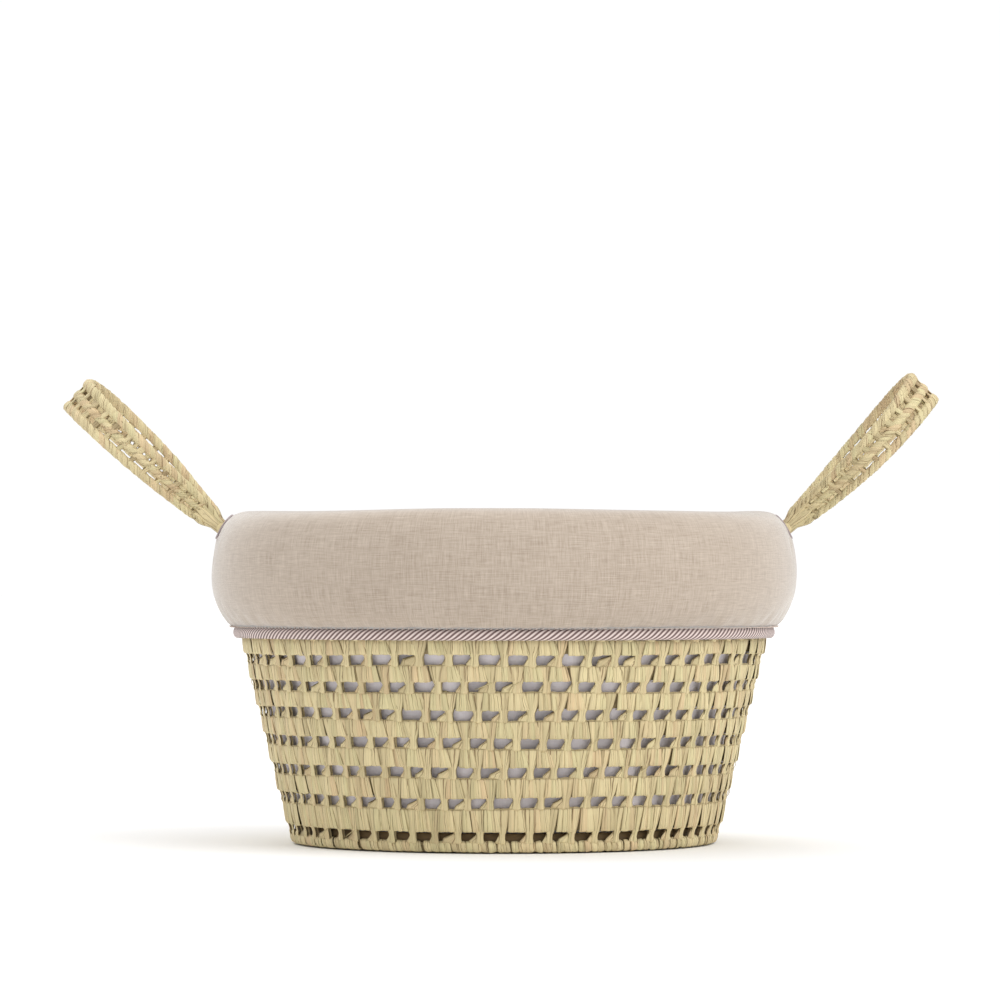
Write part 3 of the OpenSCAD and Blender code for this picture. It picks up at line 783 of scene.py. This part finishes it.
class BASKET_OT_weave_foot(Operator):
    """Wrap the foot coil under the lowest open row"""
    bl_idname = "basket.weave_foot"
    bl_label = "Weave foot"

    def execute(self, context):
        s = sizes()
        rng = random_for("foot_weave")
        n = s.foot_wraps
        high = BOX["foot_coil"][1][2]
        leaves = Leaves()
        out = np.array([-0.0040, -0.0024, -0.0011, -0.0006, -0.0009, -0.0022, -0.0042])
        level = np.array([0.93, 1.0, 0.82, 0.5, 0.24, 0.15, 0.17])
        spacing = LINKS / n
        for m in (0, 1):
            angle = (np.arange(n) + rng.normal(0, 0.07, n)) * 2 * math.pi / n
            t = np.linspace(0, 1, 7)[None]
            shift = (m - 0.5) * 0.46 * spacing + (t - 0.5) * (0.16 + rng.normal(0, 0.05, n)[:, None])
            half = spacing * 0.30 * rng.uniform(0.85, 1.15, n)[:, None] * (0.8 + 0.25 * np.sin(math.pi * t))
            stray = rng.normal(0, 0.0002, n)[:, None]
            height = np.broadcast_to(high * level, shift.shape)
            wall_leaf(leaves, angle, shift, out[None] + stray, height, half,
                      s.leaf_crown * 0.9, s.leaf_thick, leaf_tones(rng, n, 0.06), rng.normal(0, 0.12, n))
        # core behind the wraps, darkened as painted shade
        z = np.array([0.0009, high - 0.0007])
        r = wall_radius(z)
        leaves.core(shell_ring(r - BAND_T, r - 0.0022, z[0], z[1]), 0.6)
        leaf = leaf_material("palm leaf, foot", hue_shift=-0.03)
        dress(leaves.make("foot_weave"), leaf, nodes=["foot_coil"])
        return {"FINISHED"}


class BASKET_OT_weave_base(Operator):
    """Wrap the coils of the round base, seen from below"""
    bl_idname = "basket.weave_base"
    bl_label = "Weave base"

    def execute(self, context):
        s = sizes()
        rng = random_for("base_weave")
        leaves = Leaves()
        inner = 0.0
        high = BOX["base_button"][1][2]
        for number, node in enumerate(BASE_RINGS):
            outer = BOX[node][1][0]
            wraps = max(8, round(math.pi * (inner + outer) / s.wrap_width))
            coils = 1 if number == 0 else 2
            for c in range(coils):
                a = inner + (outer - inner) * c / coils
                b = inner + (outer - inner) * (c + 1) / coils
                t = np.array([0.02, 0.10, 0.30, 0.55, 0.80, 0.92, 0.985])
                z = np.array([0.0036, 0.0021, 0.00135, 0.0012, 0.00135, 0.0021, 0.0036])
                at = (np.arange(wraps) + 0.5 * (number + c) + rng.normal(0, 0.06, wraps)) * 2 * math.pi / wraps
                lean = (0.35 if c % 2 else -0.35) + rng.normal(0, 0.08, wraps)
                turn = at[:, None] + lean[:, None] * (t - 0.5) * 2 * math.pi / wraps
                radius = np.broadcast_to(a + (b - a) * t, turn.shape)
                height = np.broadcast_to(z, turn.shape) + rng.uniform(0, 0.0004, wraps)[:, None]
                run_r, run_z = np.gradient(radius, axis=1), np.gradient(height, axis=1)
                size = np.hypot(run_r, run_z)
                normal = round_ring(run_z / size, -run_r / size, turn)
                half = radius * math.pi / wraps * 1.06 * rng.uniform(0.9, 1.1, wraps)[:, None]
                leaves.add(round_ring(radius, height, turn), normal, half, s.leaf_crown * 0.7, s.leaf_thick,
                           leaf_tones(rng, wraps, 0.04), rng.normal(0, 0.06, wraps))
                # core under each coil's wraps, darkened as painted shade
                low_in = max(a + 0.0004, 0.0005)
                heart = shell_ring((low_in, low_in), (b - 0.0004, b - 0.0004), 0.0024, high - 0.0002, 96)
                leaves.core(heart, 0.45)
            inner = outer
        # the base's last coil, turned up inside the wall behind the lowest open row, coloured near the crevice colour
        # as painted shade at the wall's foot
        z = np.array([0.0012, 0.0128])
        r = wall_radius(z)
        leaves.core(shell_ring(r - 0.0092, r - 0.0060, z[0], z[1]), 0.85)
        leaf = leaf_material("palm leaf, base", hue_shift=0.03)
        dress(leaves.make("base_weave"), leaf, nodes=BASE_RINGS)
        return {"FINISHED"}


# ---- liner and padded cover ----

ROLL_OUT, ROLL_IN, ROLL_RISE, ROLL_FALL, ROLL_POWER = 0.024, 0.018, 0.041, 0.043, 2.4
HEM_ANGLE, SEAM_ANGLE, SLOT_ANGLE = math.radians(-62.5), math.radians(265), math.radians(44)
SLOT_HALF, SLOT_MARGIN, SLOT_RAISE, SLOT_Y = 0.0085, 0.0018, 0.0015, 0.0193
COVER_R, LINER_R = 0.19, 0.16
CROWN_R = BOX["cover_cloth"][1][0] - ROLL_OUT
WIDEST_Z = BOX["cover_cloth"][1][2] - ROLL_RISE


def roll_section(angle, out=0.0):
    """Radius and height of the padded roll's section at an angle round it, 0 outwards and a quarter turn up:
    a rounded oval, whose half width and half height each have a value for either side, moved out along its
    own outward direction."""
    c, s = np.cos(angle), np.sin(angle)
    wide = np.where(c >= 0, ROLL_OUT, ROLL_IN)
    tall = np.where(s >= 0, ROLL_RISE, ROLL_FALL)
    p = np.where(s >= 0, ROLL_POWER, 2.0)
    n = unit(np.stack([signed(c, 2 - 2 / p) / wide, signed(s, 2 - 2 / p) / tall], -1))
    r = CROWN_R + wide * signed(c, 2 / p) + out * n[..., 0]
    z = WIDEST_Z + tall * signed(s, 2 / p) + out * n[..., 1]
    return r, z, n


def even_angles(count):
    """Angles round the roll's section, from hem to seam, that are evenly spaced along its length."""
    dense = np.linspace(HEM_ANGLE, SEAM_ANGLE, 2000)
    r, z, n = roll_section(dense)
    run = np.concatenate([[0], np.cumsum(np.hypot(np.diff(r), np.diff(z)))])
    return np.interp(np.linspace(0, run[-1], count), run, dense), run[-1]


def slot_frame(side):
    """Middle, way up the cover, outward direction and half the straight length of one handle slot, from its
    binding's box. The way out is the roll's, in the plane of the handle, and the way up is square to it."""
    low, high = BOX["right_slot_binding" if side > 0 else "left_slot_binding"][:, 1]
    r, z, n = roll_section(np.array(SLOT_ANGLE))
    up = np.array([-side * n[1], 0, n[0]])
    across = math.sqrt(float(r) ** 2 - SLOT_Y ** 2)
    middle = np.array([side * across, 0, float(z)]) + SLOT_RAISE * up
    return middle, up, np.array([side * n[0], 0, n[1]]), (high - low) / 2 - SLOT_MARGIN - SLOT_HALF


def slot_reach(points, side):
    """How far points lie from a slot's middle line, as a share of its half width: the slot is a straight line
    with everything within half a width of it."""
    middle, up, out, straight = slot_frame(side)
    d = points - middle
    along = d[..., 1]
    far = np.hypot(d @ up, along - np.clip(along, -straight, straight)) / SLOT_HALF
    return np.where(d @ out > -0.02, far, 9.0)


class BASKET_OT_pad_cover(Operator):
    """Make the padded cloth roll over the rim, with an open bound slot at each side"""
    bl_idname = "basket.pad_cover"
    bl_label = "Pad cover"

    def execute(self, context):
        s, c = sizes(), colours()
        rows, columns = s.cover_columns, 50
        angles, run = even_angles(columns)
        turn = np.linspace(0, 2 * math.pi, rows, endpoint=False)[:, None]
        puff = 0.0005 * np.sin(3 * turn + 0.6) + 0.0004 * np.sin(7 * turn + 2.0) * np.sin(angles)[None]
        gather = 0.00022 * np.sin(44 * turn + 2.5 * np.sin(5 * turn)) + 0.00014 * np.sin(71 * turn + 1.0)
        near_hem = np.exp(-((angles - HEM_ANGLE) / 0.30) ** 2)[None]
        hem_fold = 0.0012 * np.exp(-((angles - HEM_ANGLE) / 0.045) ** 2)[None]
        out = -0.0005 + 0.5 * puff + gather * near_hem - hem_fold
        r, z, n = roll_section(np.broadcast_to(angles, (rows, columns)), out)
        points = round_ring(r, z, turn).reshape(-1, 3)
        quads = grid_quads(rows, columns, True)[0]
        keep = np.ones(len(quads), bool)
        ends = np.zeros((rows, columns), bool)
        ends[:, [0, -1]] = True
        sewn = ends.ravel()
        # cut the slots out of the grid and draw the points round each hole onto the slot's outline
        for side in (1, -1):
            middle, up, out_way, straight = slot_frame(side)
            inside = slot_reach(points[quads].mean(1), side) < 1.0
            keep &= ~inside
            edge, stay = np.zeros(rows * columns, bool), np.zeros(rows * columns, bool)
            edge[quads[inside].ravel()] = True
            stay[quads[~inside].ravel()] = True
            edge &= stay
            sewn |= edge
            d = points[edge] - middle
            across, along = d @ up, d[:, 1]
            line = np.clip(along, -straight, straight)
            k = SLOT_HALF * 1.02 / np.maximum(np.hypot(across, along - line), 1e-6)
            moved = points[edge] + up * (across * (k - 1))[:, None]
            moved[:, 1] = line + (along - line) * k
            points[edge] = moved
        around = 2 * math.pi * COVER_R
        grid = points.reshape(rows, columns, 3)
        cover = grid_surface("padded_cover", grid, True, False, (around, run), keep=keep)
        # keep the cloth's rise within the wadding and the frame's cover, and its drift under a millimetre
        move = settle_cloth(cover, sewn) - points
        outward = round_ring(n[..., 0], n[..., 1], turn).reshape(-1, 3)
        rise = np.sum(move * outward, 1, keepdims=True)
        drift = move - rise * outward
        drift *= np.minimum(1, 0.0010 / np.maximum(np.linalg.norm(drift, axis=1, keepdims=True), 1e-9))
        given = out.reshape(-1, 1)
        held = np.clip(given + rise, np.minimum(given, -0.0013), np.maximum(given, 0.0004))
        place = points + drift + (held - given) * outward
        cover.data.vertices.foreach_set("co", place.astype(np.float32).ravel())
        cover.data.update()
        thicken(cover, s.cloth_thick)
        smooth = cover.modifiers.new("smooth", "SUBSURF")
        smooth.levels = smooth.render_levels = 1
        linen = cloth_material("linen cover", c.linen_light, c.linen_dark, 1.0, 0.35, sheen=0.9)
        dress(cover, linen, nodes=["cover_cloth"])
        angles = np.linspace(HEM_ANGLE + 0.10, SEAM_ANGLE - 0.06, 40)
        tuft = 0.0004 * np.sin(31 * turn + 9 * angles) * np.sin(17 * turn - 5 * angles)
        r, z, n = roll_section(np.broadcast_to(angles, (rows, 40)), -0.0032 + tuft)
        filling = grid_surface("wadding_roll", round_ring(r, z, turn), True)
        thicken(filling, 0.006)
        dress(filling, fibre_material("wadding", c.filling, 180.0), nodes=["wadding"])
        return {"FINISHED"}


class BASKET_OT_hang_liner(Operator):
    """Hang the cloth liner inside the wall and lay its round floor"""
    bl_idname = "basket.hang_liner"
    bl_label = "Hang liner"

    def execute(self, context):
        s, c = sizes(), colours()
        cloth = cloth_material("liner cloth", c.liner, c.liner_dark, 0.6, 0.3)
        low, high = BOX["liner_floor"][1][2] - 0.0002, BOX["liner_wall"][1][2]
        rows, columns = 360, 44
        turn = np.linspace(0, 2 * math.pi, rows, endpoint=False)[:, None]
        z = np.linspace(low, high, columns)[None]
        # drawn in at the foot, and folds that die away at both ends
        tuck = 0.010 * np.clip(1 - (z - low) / 0.020, 0, 1) ** 2
        body = np.sin(math.pi * np.clip((z - low) / (high - low), 0, 1)) ** 0.5
        fold = (0.0011 * (1 + np.sin(23 * turn + 1.5 * np.sin(4 * turn) + 30 * z))
                + 0.0009 * (1 + np.sin(9 * turn + 1.0 + 12 * z))
                + 0.0006 * (1 + np.sin(41 * turn + 55 * z + 2 * np.sin(3 * turn)))) * 0.65 * body
        r = wall_radius(z) - BAND_T - 0.0004 - tuck - fold
        around = 2 * math.pi * LINER_R
        wall = grid_surface("liner_wall_cloth", round_ring(r, z, turn), True, False, (around, high - low))
        thicken(wall, s.cloth_thick)
        dress(wall, cloth, nodes=["liner_wall"])
        z0 = BOX["liner_floor"][1][2]
        t = np.linspace(0, 1, 60)[None]
        edge = r[:, :1] + 0.0008
        radius = edge * t
        soft = np.sin(math.pi * t) ** 2
        ripple = 0.0006 * np.sin(14 * turn + 40 * radius) + 0.0004 * np.sin(5 * turn + 1 + 90 * radius)
        height = z0 - 0.0002 + (0.0006 + ripple) * soft
        grid = round_ring(radius, height, turn)
        disc = weld(grid_surface("liner_floor_cloth", grid, True, False, (0.8, 0.14)))
        thicken(disc, s.cloth_thick)
        dress(disc, cloth, nodes=["liner_floor"])
        return {"FINISHED"}


class BASKET_OT_bind_slots(Operator):
    """Bind the edges of both handle slots with a narrow cloth strip"""
    bl_idname = "basket.bind_slots"
    bl_label = "Bind slots"

    def execute(self, context):
        c = colours()
        cloth = cloth_material("slot binding", c.binding, c.binding, 0.5, 0.2)
        for side, name in ((1, "right_slot_lip"), (-1, "left_slot_lip")):
            middle, up, out, straight = slot_frame(side)
            t = np.linspace(0, 2 * math.pi, 160, endpoint=False)
            radius = SLOT_HALF + 0.0004
            line = straight * np.tanh(3.0 * np.sin(t)) / np.tanh(3.0)
            y, x = line + radius * np.sin(t), radius * np.cos(t)
            flat = middle + np.outer(x, up) + np.outer(y, [0, 1, 0])
            # bring the outline onto the roll: find the section angle that meets each point along the way out
            dense = np.radians(np.linspace(5, 90, 800))
            r, z, n = roll_section(dense, 0.0004)
            reach = side * np.sqrt(np.maximum(r ** 2 - flat[:, 1:2] ** 2, 0))
            off = (reach - flat[:, :1]) * up[0] + (z - flat[:, 2:]) * up[2]
            best = np.argmin(np.abs(off), 1)
            path = np.stack([np.take_along_axis(reach, best[:, None], 1)[:, 0], flat[:, 1], z[best]], -1)
            path = (path + np.roll(path, 1, 0) + np.roll(path, -1, 0)) / 3
            tangent = unit(np.roll(path, -1, 0) - np.roll(path, 1, 0))
            face = unit(np.broadcast_to(out, path.shape) - (tangent @ out)[:, None] * tangent)
            sideways = np.cross(tangent, face)
            phi = np.linspace(0, 2 * math.pi, 10, endpoint=False)
            stitch = 1 + 0.10 * np.sin(40 * t)[:, None]
            ring = (path[:, None] + sideways[:, None] * (0.0012 * np.cos(phi) * stitch)[..., None]
                    + face[:, None] * (0.0007 * np.sin(phi) * stitch - 0.0008)[..., None])
            lip = grid_surface(name, ring, True, True, (0.13, 0.009))
            dress(lip, cloth, nodes=[name.replace("lip", "binding")])
        return {"FINISHED"}


class BASKET_OT_twist_piping(Operator):
    """Twist the two-colour piping cord under the cover's hem"""
    bl_idname = "basket.twist_piping"
    bl_label = "Twist piping"

    def execute(self, context):
        s, c = sizes(), colours()
        rows, columns = s.cord_strands * 6, 26
        high = BOX["piping_strip"][1][2]
        ring = BOX["piping_strip"][1][0] - 0.0026
        turn = np.linspace(0, 1, rows, endpoint=False)[:, None]
        round_cord = np.linspace(0, 1, columns, endpoint=False)[None]
        phase = 2 * math.pi * (s.cord_strands * turn - s.cord_turns * round_cord)
        # two strands to each pair: the ridge is the absolute sine of the phase, so grooves fall between colours
        swell = 0.92 + 0.12 * np.abs(np.sin(phase))
        phi = 2 * math.pi * round_cord
        angle = 2 * math.pi * turn
        half_wide, half_tall = 0.0023, 0.0037
        r = ring - 0.0006 + half_wide * swell * np.cos(phi)
        z = high - 0.00175 + half_tall * swell * np.sin(phi)
        cord = grid_surface("piping_twist", round_ring(r, z, angle), True, True)
        dress(cord, piping_material(), nodes=["piping_strip", "piping_cord"])
        rng = random_for("hem_stitches")
        n = s.cord_strands
        leaves = Leaves()
        t = np.linspace(0, 1, 5)[None]
        at = (np.arange(n) + rng.normal(0, 0.06, n))[:, None] * 2 * math.pi / n + (t - 0.5) * 0.010
        slope = HEM_ANGLE - 0.010 + 0.060 * t + rng.normal(0, 0.004, n)[:, None]
        r, z, face = roll_section(slope, 0.0007 * np.sin(math.pi * t) - 0.0019 + 0.0013 * t)
        normal = round_ring(face[..., 0], face[..., 1], at)
        half = 0.00030 * (0.7 + 0.5 * np.sin(math.pi * t)) + 0 * at
        leaves.add(round_ring(r, z, at), normal, half, 0.0002, 0.0003, leaf_tones(rng, n))
        thread = cloth_material("stitching thread", c.cord_pale, c.linen_light, 0.5, 0.2)
        dress(leaves.make("hem_stitches"), thread)
        return {"FINISHED"}


# ---- handles ----

HANDLE_TILT = {1: 45.5, -1: 42.7}
HANDLE_SAG = {1: 0.0045, -1: 0.0015}
HANDLE_LIFT = {1: 0.074, -1: 0.098}
LOOP_L, LOOP_W, LOOP_END, STEM_Y = 0.135, 0.092, 0.052, 0.0192873


def loop_line(t):
    """Line of a handle from its front end (-1) round to its back end (1), in the plane of the loop: straight
    legs that spread smoothly, then a rounded end."""
    leg = LOOP_L - LOOP_END
    a = np.radians(90 * t / 0.5)
    bend_x = leg + LOOP_END * np.abs(np.cos(a)) ** (2 / 2.2)
    bend_y = LOOP_W / 2 * signed(np.sin(a), 2 / 2.2)
    k = (1 - np.abs(t)) / 0.5
    side_y = np.sign(t) * (STEM_Y + (LOOP_W / 2 - STEM_Y) * ease(k))
    x = np.where(np.abs(t) <= 0.5, bend_x, leg * k)
    y = np.where(np.abs(t) <= 0.5, bend_y, side_y)
    return np.stack([x, y], -1)


def strap_width(x):
    """Width of the handle's strap at a distance from the pivot."""
    stem = 0.008 + 0.007 * ease(np.maximum(0, x - 0.004) / 0.012)
    strap = 0.015 + 0.012 * (np.maximum(x - 0.016, 0) / 0.119) ** 0.7
    return np.where(x <= 0.016, stem, strap)


class HandleLine:
    """The handle's line by its own length, with places on it as points across the strap and out of its face."""

    def __init__(self, side):
        t = np.linspace(-1, 1, 3001)
        line = loop_line(t)
        self.run = np.concatenate([[0], np.cumsum(np.linalg.norm(np.diff(line, axis=0), axis=1))])
        self.line, self.side = line, side
        self.length = self.run[-1]
        tilt = math.radians(HANDLE_TILT[side])
        self.way = np.array([side * math.cos(tilt), 0, math.sin(tilt)])
        self.up = np.array([-side * math.sin(tilt), 0, math.cos(tilt)])
        self.pivot = PIVOT["right_handle" if side > 0 else "left_handle"]

    def place(self, run, across, out):
        """World point at a length along the line, a distance across the strap and one out of its outer face,
        with that face's outward direction."""
        run = np.clip(run, 0, self.length)
        x, y = (np.interp(run, self.run, self.line[:, k]) for k in (0, 1))
        e = 0.0006
        tx, ty = (np.interp(run + e, self.run, self.line[:, k]) - np.interp(run - e, self.run, self.line[:, k])
                  for k in (0, 1))
        size = np.maximum(np.hypot(tx, ty), 1e-9)
        nx, ny = ty / size, -tx / size
        sag = HANDLE_SAG[self.side] * np.sin(math.pi * x / LOOP_L)
        px, py, pz = x + nx * out, y + ny * out, across - sag
        pz = pz + HANDLE_LIFT[self.side] * np.maximum(py, 0) * ease(x / 0.06)
        back = np.array([0, 1.0, 0])
        point = self.pivot + px[..., None] * self.way + py[..., None] * back + pz[..., None] * self.up
        face = nx[..., None] * self.way + ny[..., None] * back
        return point, face

    def width(self, run):
        return strap_width(np.interp(run, self.run, self.line[:, 0]))


def twist_coil(leaves, line, offset, hand, rng, start):
    """One twisted coil of the strap: three strands wind round its flat oval, and each strand is a chain of folded
    leaves a little under two turns long, every leaf's end tucked under the next. The strand's middle lies at a
    fraction of the oval's half sizes times sine and cosine of the turn. hand is 1 or -1 for the way it winds."""
    s = sizes()
    lead, turns, stride = s.coil_lead, 1.95, 1.6
    usable = line.length - 2 * start - lead * turns
    t = np.linspace(0, 1, 19)[None]
    for strand in range(3):
        first = start + np.arange(strand * 0.33, usable / lead, stride) * lead
        first = np.append(first, start + usable) + rng.normal(0, 0.0003, len(first) + 1)
        n = len(first)
        run = first[:, None] + lead * turns * t
        psi = hand * 2 * math.pi * (run / lead + strand / 3)
        width = line.width(run)
        half_w, half_t = 0.135 * width, 0.0021
        tuck = 1 - 0.45 * (1 - np.sin(math.pi * np.clip(t, 0.0, 1.0)) ** 0.35)
        deep = 0.50 * tuck
        across, out = offset * width + deep * half_w * np.sin(psi), deep * half_t * np.cos(psi)
        centre, face = line.place(run, across, out)
        normal = unit(face * (np.cos(psi) / half_t)[..., None] + line.up * (np.sin(psi) / half_w)[..., None])
        side = np.hypot(half_w * np.cos(psi), half_t * np.sin(psi))
        half = side * 0.98 * rng.uniform(0.88, 1.08, n)[:, None] * (0.55 + 0.45 * tuck)
        crown = 0.52 * np.hypot(half_w * np.sin(psi), half_t * np.cos(psi))
        leaves.add(centre, normal, half, crown, 0.0006, leaf_tones(rng, n, 0.0, 0.22), rng.normal(0, 0.10, n))


def tie_coils(leaves, line, offset_a, offset_b, rng, start, pitch, wide):
    """Leaf ties between two coils. On each face two short leaves cross at every tie, and open places stay
    between one tie and the next."""
    n = int((line.length - 2 * start) / pitch)
    pitch = (line.length - 2 * start) / n
    at = start + pitch * (np.arange(n) + 0.5)
    t = np.linspace(0, 1, 7)[None]
    for face_side in (1, -1):
        for cross in (1, -1):
            slant = face_side * cross * (0.30 * wide + rng.normal(0, 0.0004, n))[:, None]
            run = at[:, None] + slant * (t - 0.5)
            width = line.width(run)
            across = (offset_a + (offset_b - offset_a) * (1.16 * t - 0.08)) * width
            out = face_side * (0.0016 - 0.0009 * np.sin(math.pi * t) + 0.0002 * cross) + 0 * run
            centre, face = line.place(run, across, out)
            half = wide * 0.29 * rng.uniform(0.8, 1.2, n)[:, None]
            half = half * (0.7 + 0.4 * np.sin(math.pi * t)) * width / 0.027
            tone = leaf_tones(rng, n, 0.03, 0.35)
            tone[:, 1] += 0.35 * (rng.random(n) < 0.22)
            leaves.add(centre, face * face_side, half, 0.0004, 0.0005, tone, rng.normal(0, 0.12, n))


def fold_stems(leaves, line, rng):
    """The handle's two ends: folded leaves that run from inside the roll out of the slot and open into the
    coils, side by side and one over another."""
    t = np.linspace(0, 1, 9)[None]
    for end in (0, 1):
        for place, out in ((-0.30, 0.0009), (0.30, 0.0009), (0.0, 0.0016), (-0.22, -0.0012), (0.24, -0.0012)):
            run = -0.0 + 0.024 * t
            along = run if end == 0 else line.length - run
            width = line.width(run)
            flip = 1 if out > 0 else -1
            centre, face = line.place(along, place * width, out * (1.0 - 0.35 * t))
            down = np.clip(0.25 - t, 0, 1) * 0.024
            centre = centre - line.way * (down * 0.9)[..., None]
            half = width * 0.24 * (1.0 - 0.55 * ease((t - 0.6) / 0.4))
            tone = leaf_tones(rng, 1, 0.0, 0.1)
            leaves.add(centre, face * flip, half, 0.0006, 0.0007, tone, np.array([rng.normal(0, 0.08)]))


class BASKET_OT_plait_handles(Operator):
    """Plait both loop handles: three twisted coils, the ties between them and the folded ends"""
    bl_idname = "basket.plait_handles"
    bl_label = "Plait handles"

    def execute(self, context):
        leaf = leaf_material("palm leaf, handle", hue_shift=0.10, pale=0.03, creases=0.85)
        for side, body in ((1, "right_handle"), (-1, "left_handle")):
            line = HandleLine(side)
            made = []
            for part, offset, hand in (("upper", 0.37, 1), ("middle", 0.0, -1), ("lower", -0.37, 1)):
                name = f"{body}_{part}_plait"
                leaves = Leaves()
                twist_coil(leaves, line, offset, hand, random_for(name), 0.008)
                made.append((leaves.make(name), [f"{body}_{part}_coil"]))
            for part, a, b in (("upper", 0.37, 0.0), ("lower", 0.0, -0.37)):
                name = f"{body}_{part}_ties"
                leaves = Leaves()
                pitch, wide = (0.0112, 0.0085) if part == "upper" else (0.0112, 0.0060)
                tie_coils(leaves, line, a, b, random_for(name), 0.016, pitch, wide)
                made.append((leaves.make(name), [f"{body}_{part}_links"]))
            name = f"{body}_ends"
            leaves = Leaves()
            fold_stems(leaves, line, random_for(name))
            made.append((leaves.make(name), [f"{body}_front_stem", f"{body}_back_stem"]))
            for piece, nodes in made:
                dress(piece, leaf, body=None, nodes=nodes)
                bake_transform(piece)
        return {"FINISHED"}


class BASKET_OT_finish_inner(Operator):
    """Give the parts hidden in the roll their finishes"""
    bl_idname = "basket.finish_inner"
    bl_label = "Finish inner parts"

    def execute(self, context):
        leaf = leaf_material("palm leaf, plain", on_leaf=False)
        elastic = fibre_material("elastic", shade(225, 222, 218), 900.0, 0.8)
        for name, obj in frame["nodes"].items():
            if obj.hide_render:
                continue
            finish = elastic if name == "hem_elastic" else leaf
            obj.data.materials.clear()
            obj.data.materials.append(finish)
        return {"FINISHED"}


class BASKET_OT_light_stage(Operator):
    """Lay a pale floor, light it softly and set the camera level with the basket"""
    bl_idname = "basket.light_stage"
    bl_label = "Light stage"

    def execute(self, context):
        c = colours()
        scene = context.scene
        reach = 400.0 * np.array([[-1, -1, 0], [1, -1, 0], [1, 1, 0], [-1, 1, 0]]) - [0, 0, 0.0004]
        floor = mesh_object("floor", reach, np.array([[0, 1, 2, 3]]), smooth=False)
        material, tree, shader = new_material("floor paper", 0.9)
        level = ramp(tree, noise(tree, own_place(tree, (3.0, 3.0, 3.0)), 1.0), 0.3, 0.7, 0.985, 1.0)
        tree.links.new(tint(tree, tuple(c.floor), level), shader.inputs["Base Color"])
        floor.data.materials.append(material)
        world = bpy.data.worlds.new("soft room")
        scene.world = world
        world.use_nodes = True
        room = world.node_tree
        seen = add_node(room, "ShaderNodeLightPath").outputs["Is Camera Ray"]
        level = ramp(room, seen, 0.0, 1.0, 0.63, 1.02)
        room.links.new(level, room.nodes["Background"].inputs[1])
        room.nodes["Background"].inputs[0].default_value = (1.0, 1.0, 1.0, 1.0)
        for name, way, power, spread in (
            ("window", (0.85, -0.55, 0.85), 1.15, 50),
            ("back window", (-0.7, 0.75, 0.9), 0.75, 60),
            ("ceiling", (0, -0.05, 1), 1.02, 90),
        ):
            lamp = bpy.data.lights.new(name, "SUN")
            lamp.energy, lamp.angle = power, math.radians(spread)
            obj = bpy.data.objects.new(name, lamp)
            scene.collection.objects.link(obj)
            obj.rotation_euler = Vector(way).to_track_quat("Z", "Y").to_euler()
        camera = bpy.data.objects.new("camera", bpy.data.cameras.new("camera"))
        scene.collection.objects.link(camera)
        distance, height, sensor, zoom = 3.39, 0.1795, 36.0, 4.945
        camera.location = (0.0, -distance, height)
        camera.rotation_euler = (math.pi / 2, 0, 0)
        camera.data.sensor_width, camera.data.lens = sensor, sensor * zoom
        camera.data.shift_x, camera.data.shift_y = -0.004, 0.080
        camera.data.clip_start, camera.data.clip_end = 0.05, 50.0
        scene.camera = camera
        scene.view_settings.view_transform = "Standard"
        return {"FINISHED"}


STEPS = (
    BASKET_OT_weave_wall, BASKET_OT_weave_foot, BASKET_OT_weave_base, BASKET_OT_pad_cover,
    BASKET_OT_hang_liner, BASKET_OT_bind_slots, BASKET_OT_twist_piping, BASKET_OT_plait_handles,
    BASKET_OT_finish_inner, BASKET_OT_light_stage,
)


class BASKET_PT_sidebar(Panel):
    """Basket tools in the 3D view's sidebar"""
    bl_idname = "BASKET_PT_sidebar"
    bl_label = "Basket"
    bl_space_type = "VIEW_3D"
    bl_region_type = "UI"
    bl_category = "Basket"

    def draw(self, context):
        for group in (context.scene.basket_sizes, context.scene.basket_colours):
            for name in group.bl_rna.properties.keys():
                if name not in ("rna_type", "name"):
                    self.layout.prop(group, name)
        for step in STEPS:
            self.layout.operator(step.bl_idname)


CLASSES = (BasketSizes, BasketColours, *STEPS, BASKET_PT_sidebar)


def register():
    for item in CLASSES:
        bpy.utils.register_class(item)
    bpy.types.Scene.basket_sizes = PointerProperty(type=BasketSizes)
    bpy.types.Scene.basket_colours = PointerProperty(type=BasketColours)


def unregister():
    del bpy.types.Scene.basket_colours
    del bpy.types.Scene.basket_sizes
    for item in reversed(CLASSES):
        bpy.utils.unregister_class(item)


def main():
    """Registers the add-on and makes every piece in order."""
    register()
    for step in STEPS:
        group, call = step.bl_idname.split(".")
        getattr(getattr(bpy.ops, group), call)()


if __name__ == "__main__":
    main()
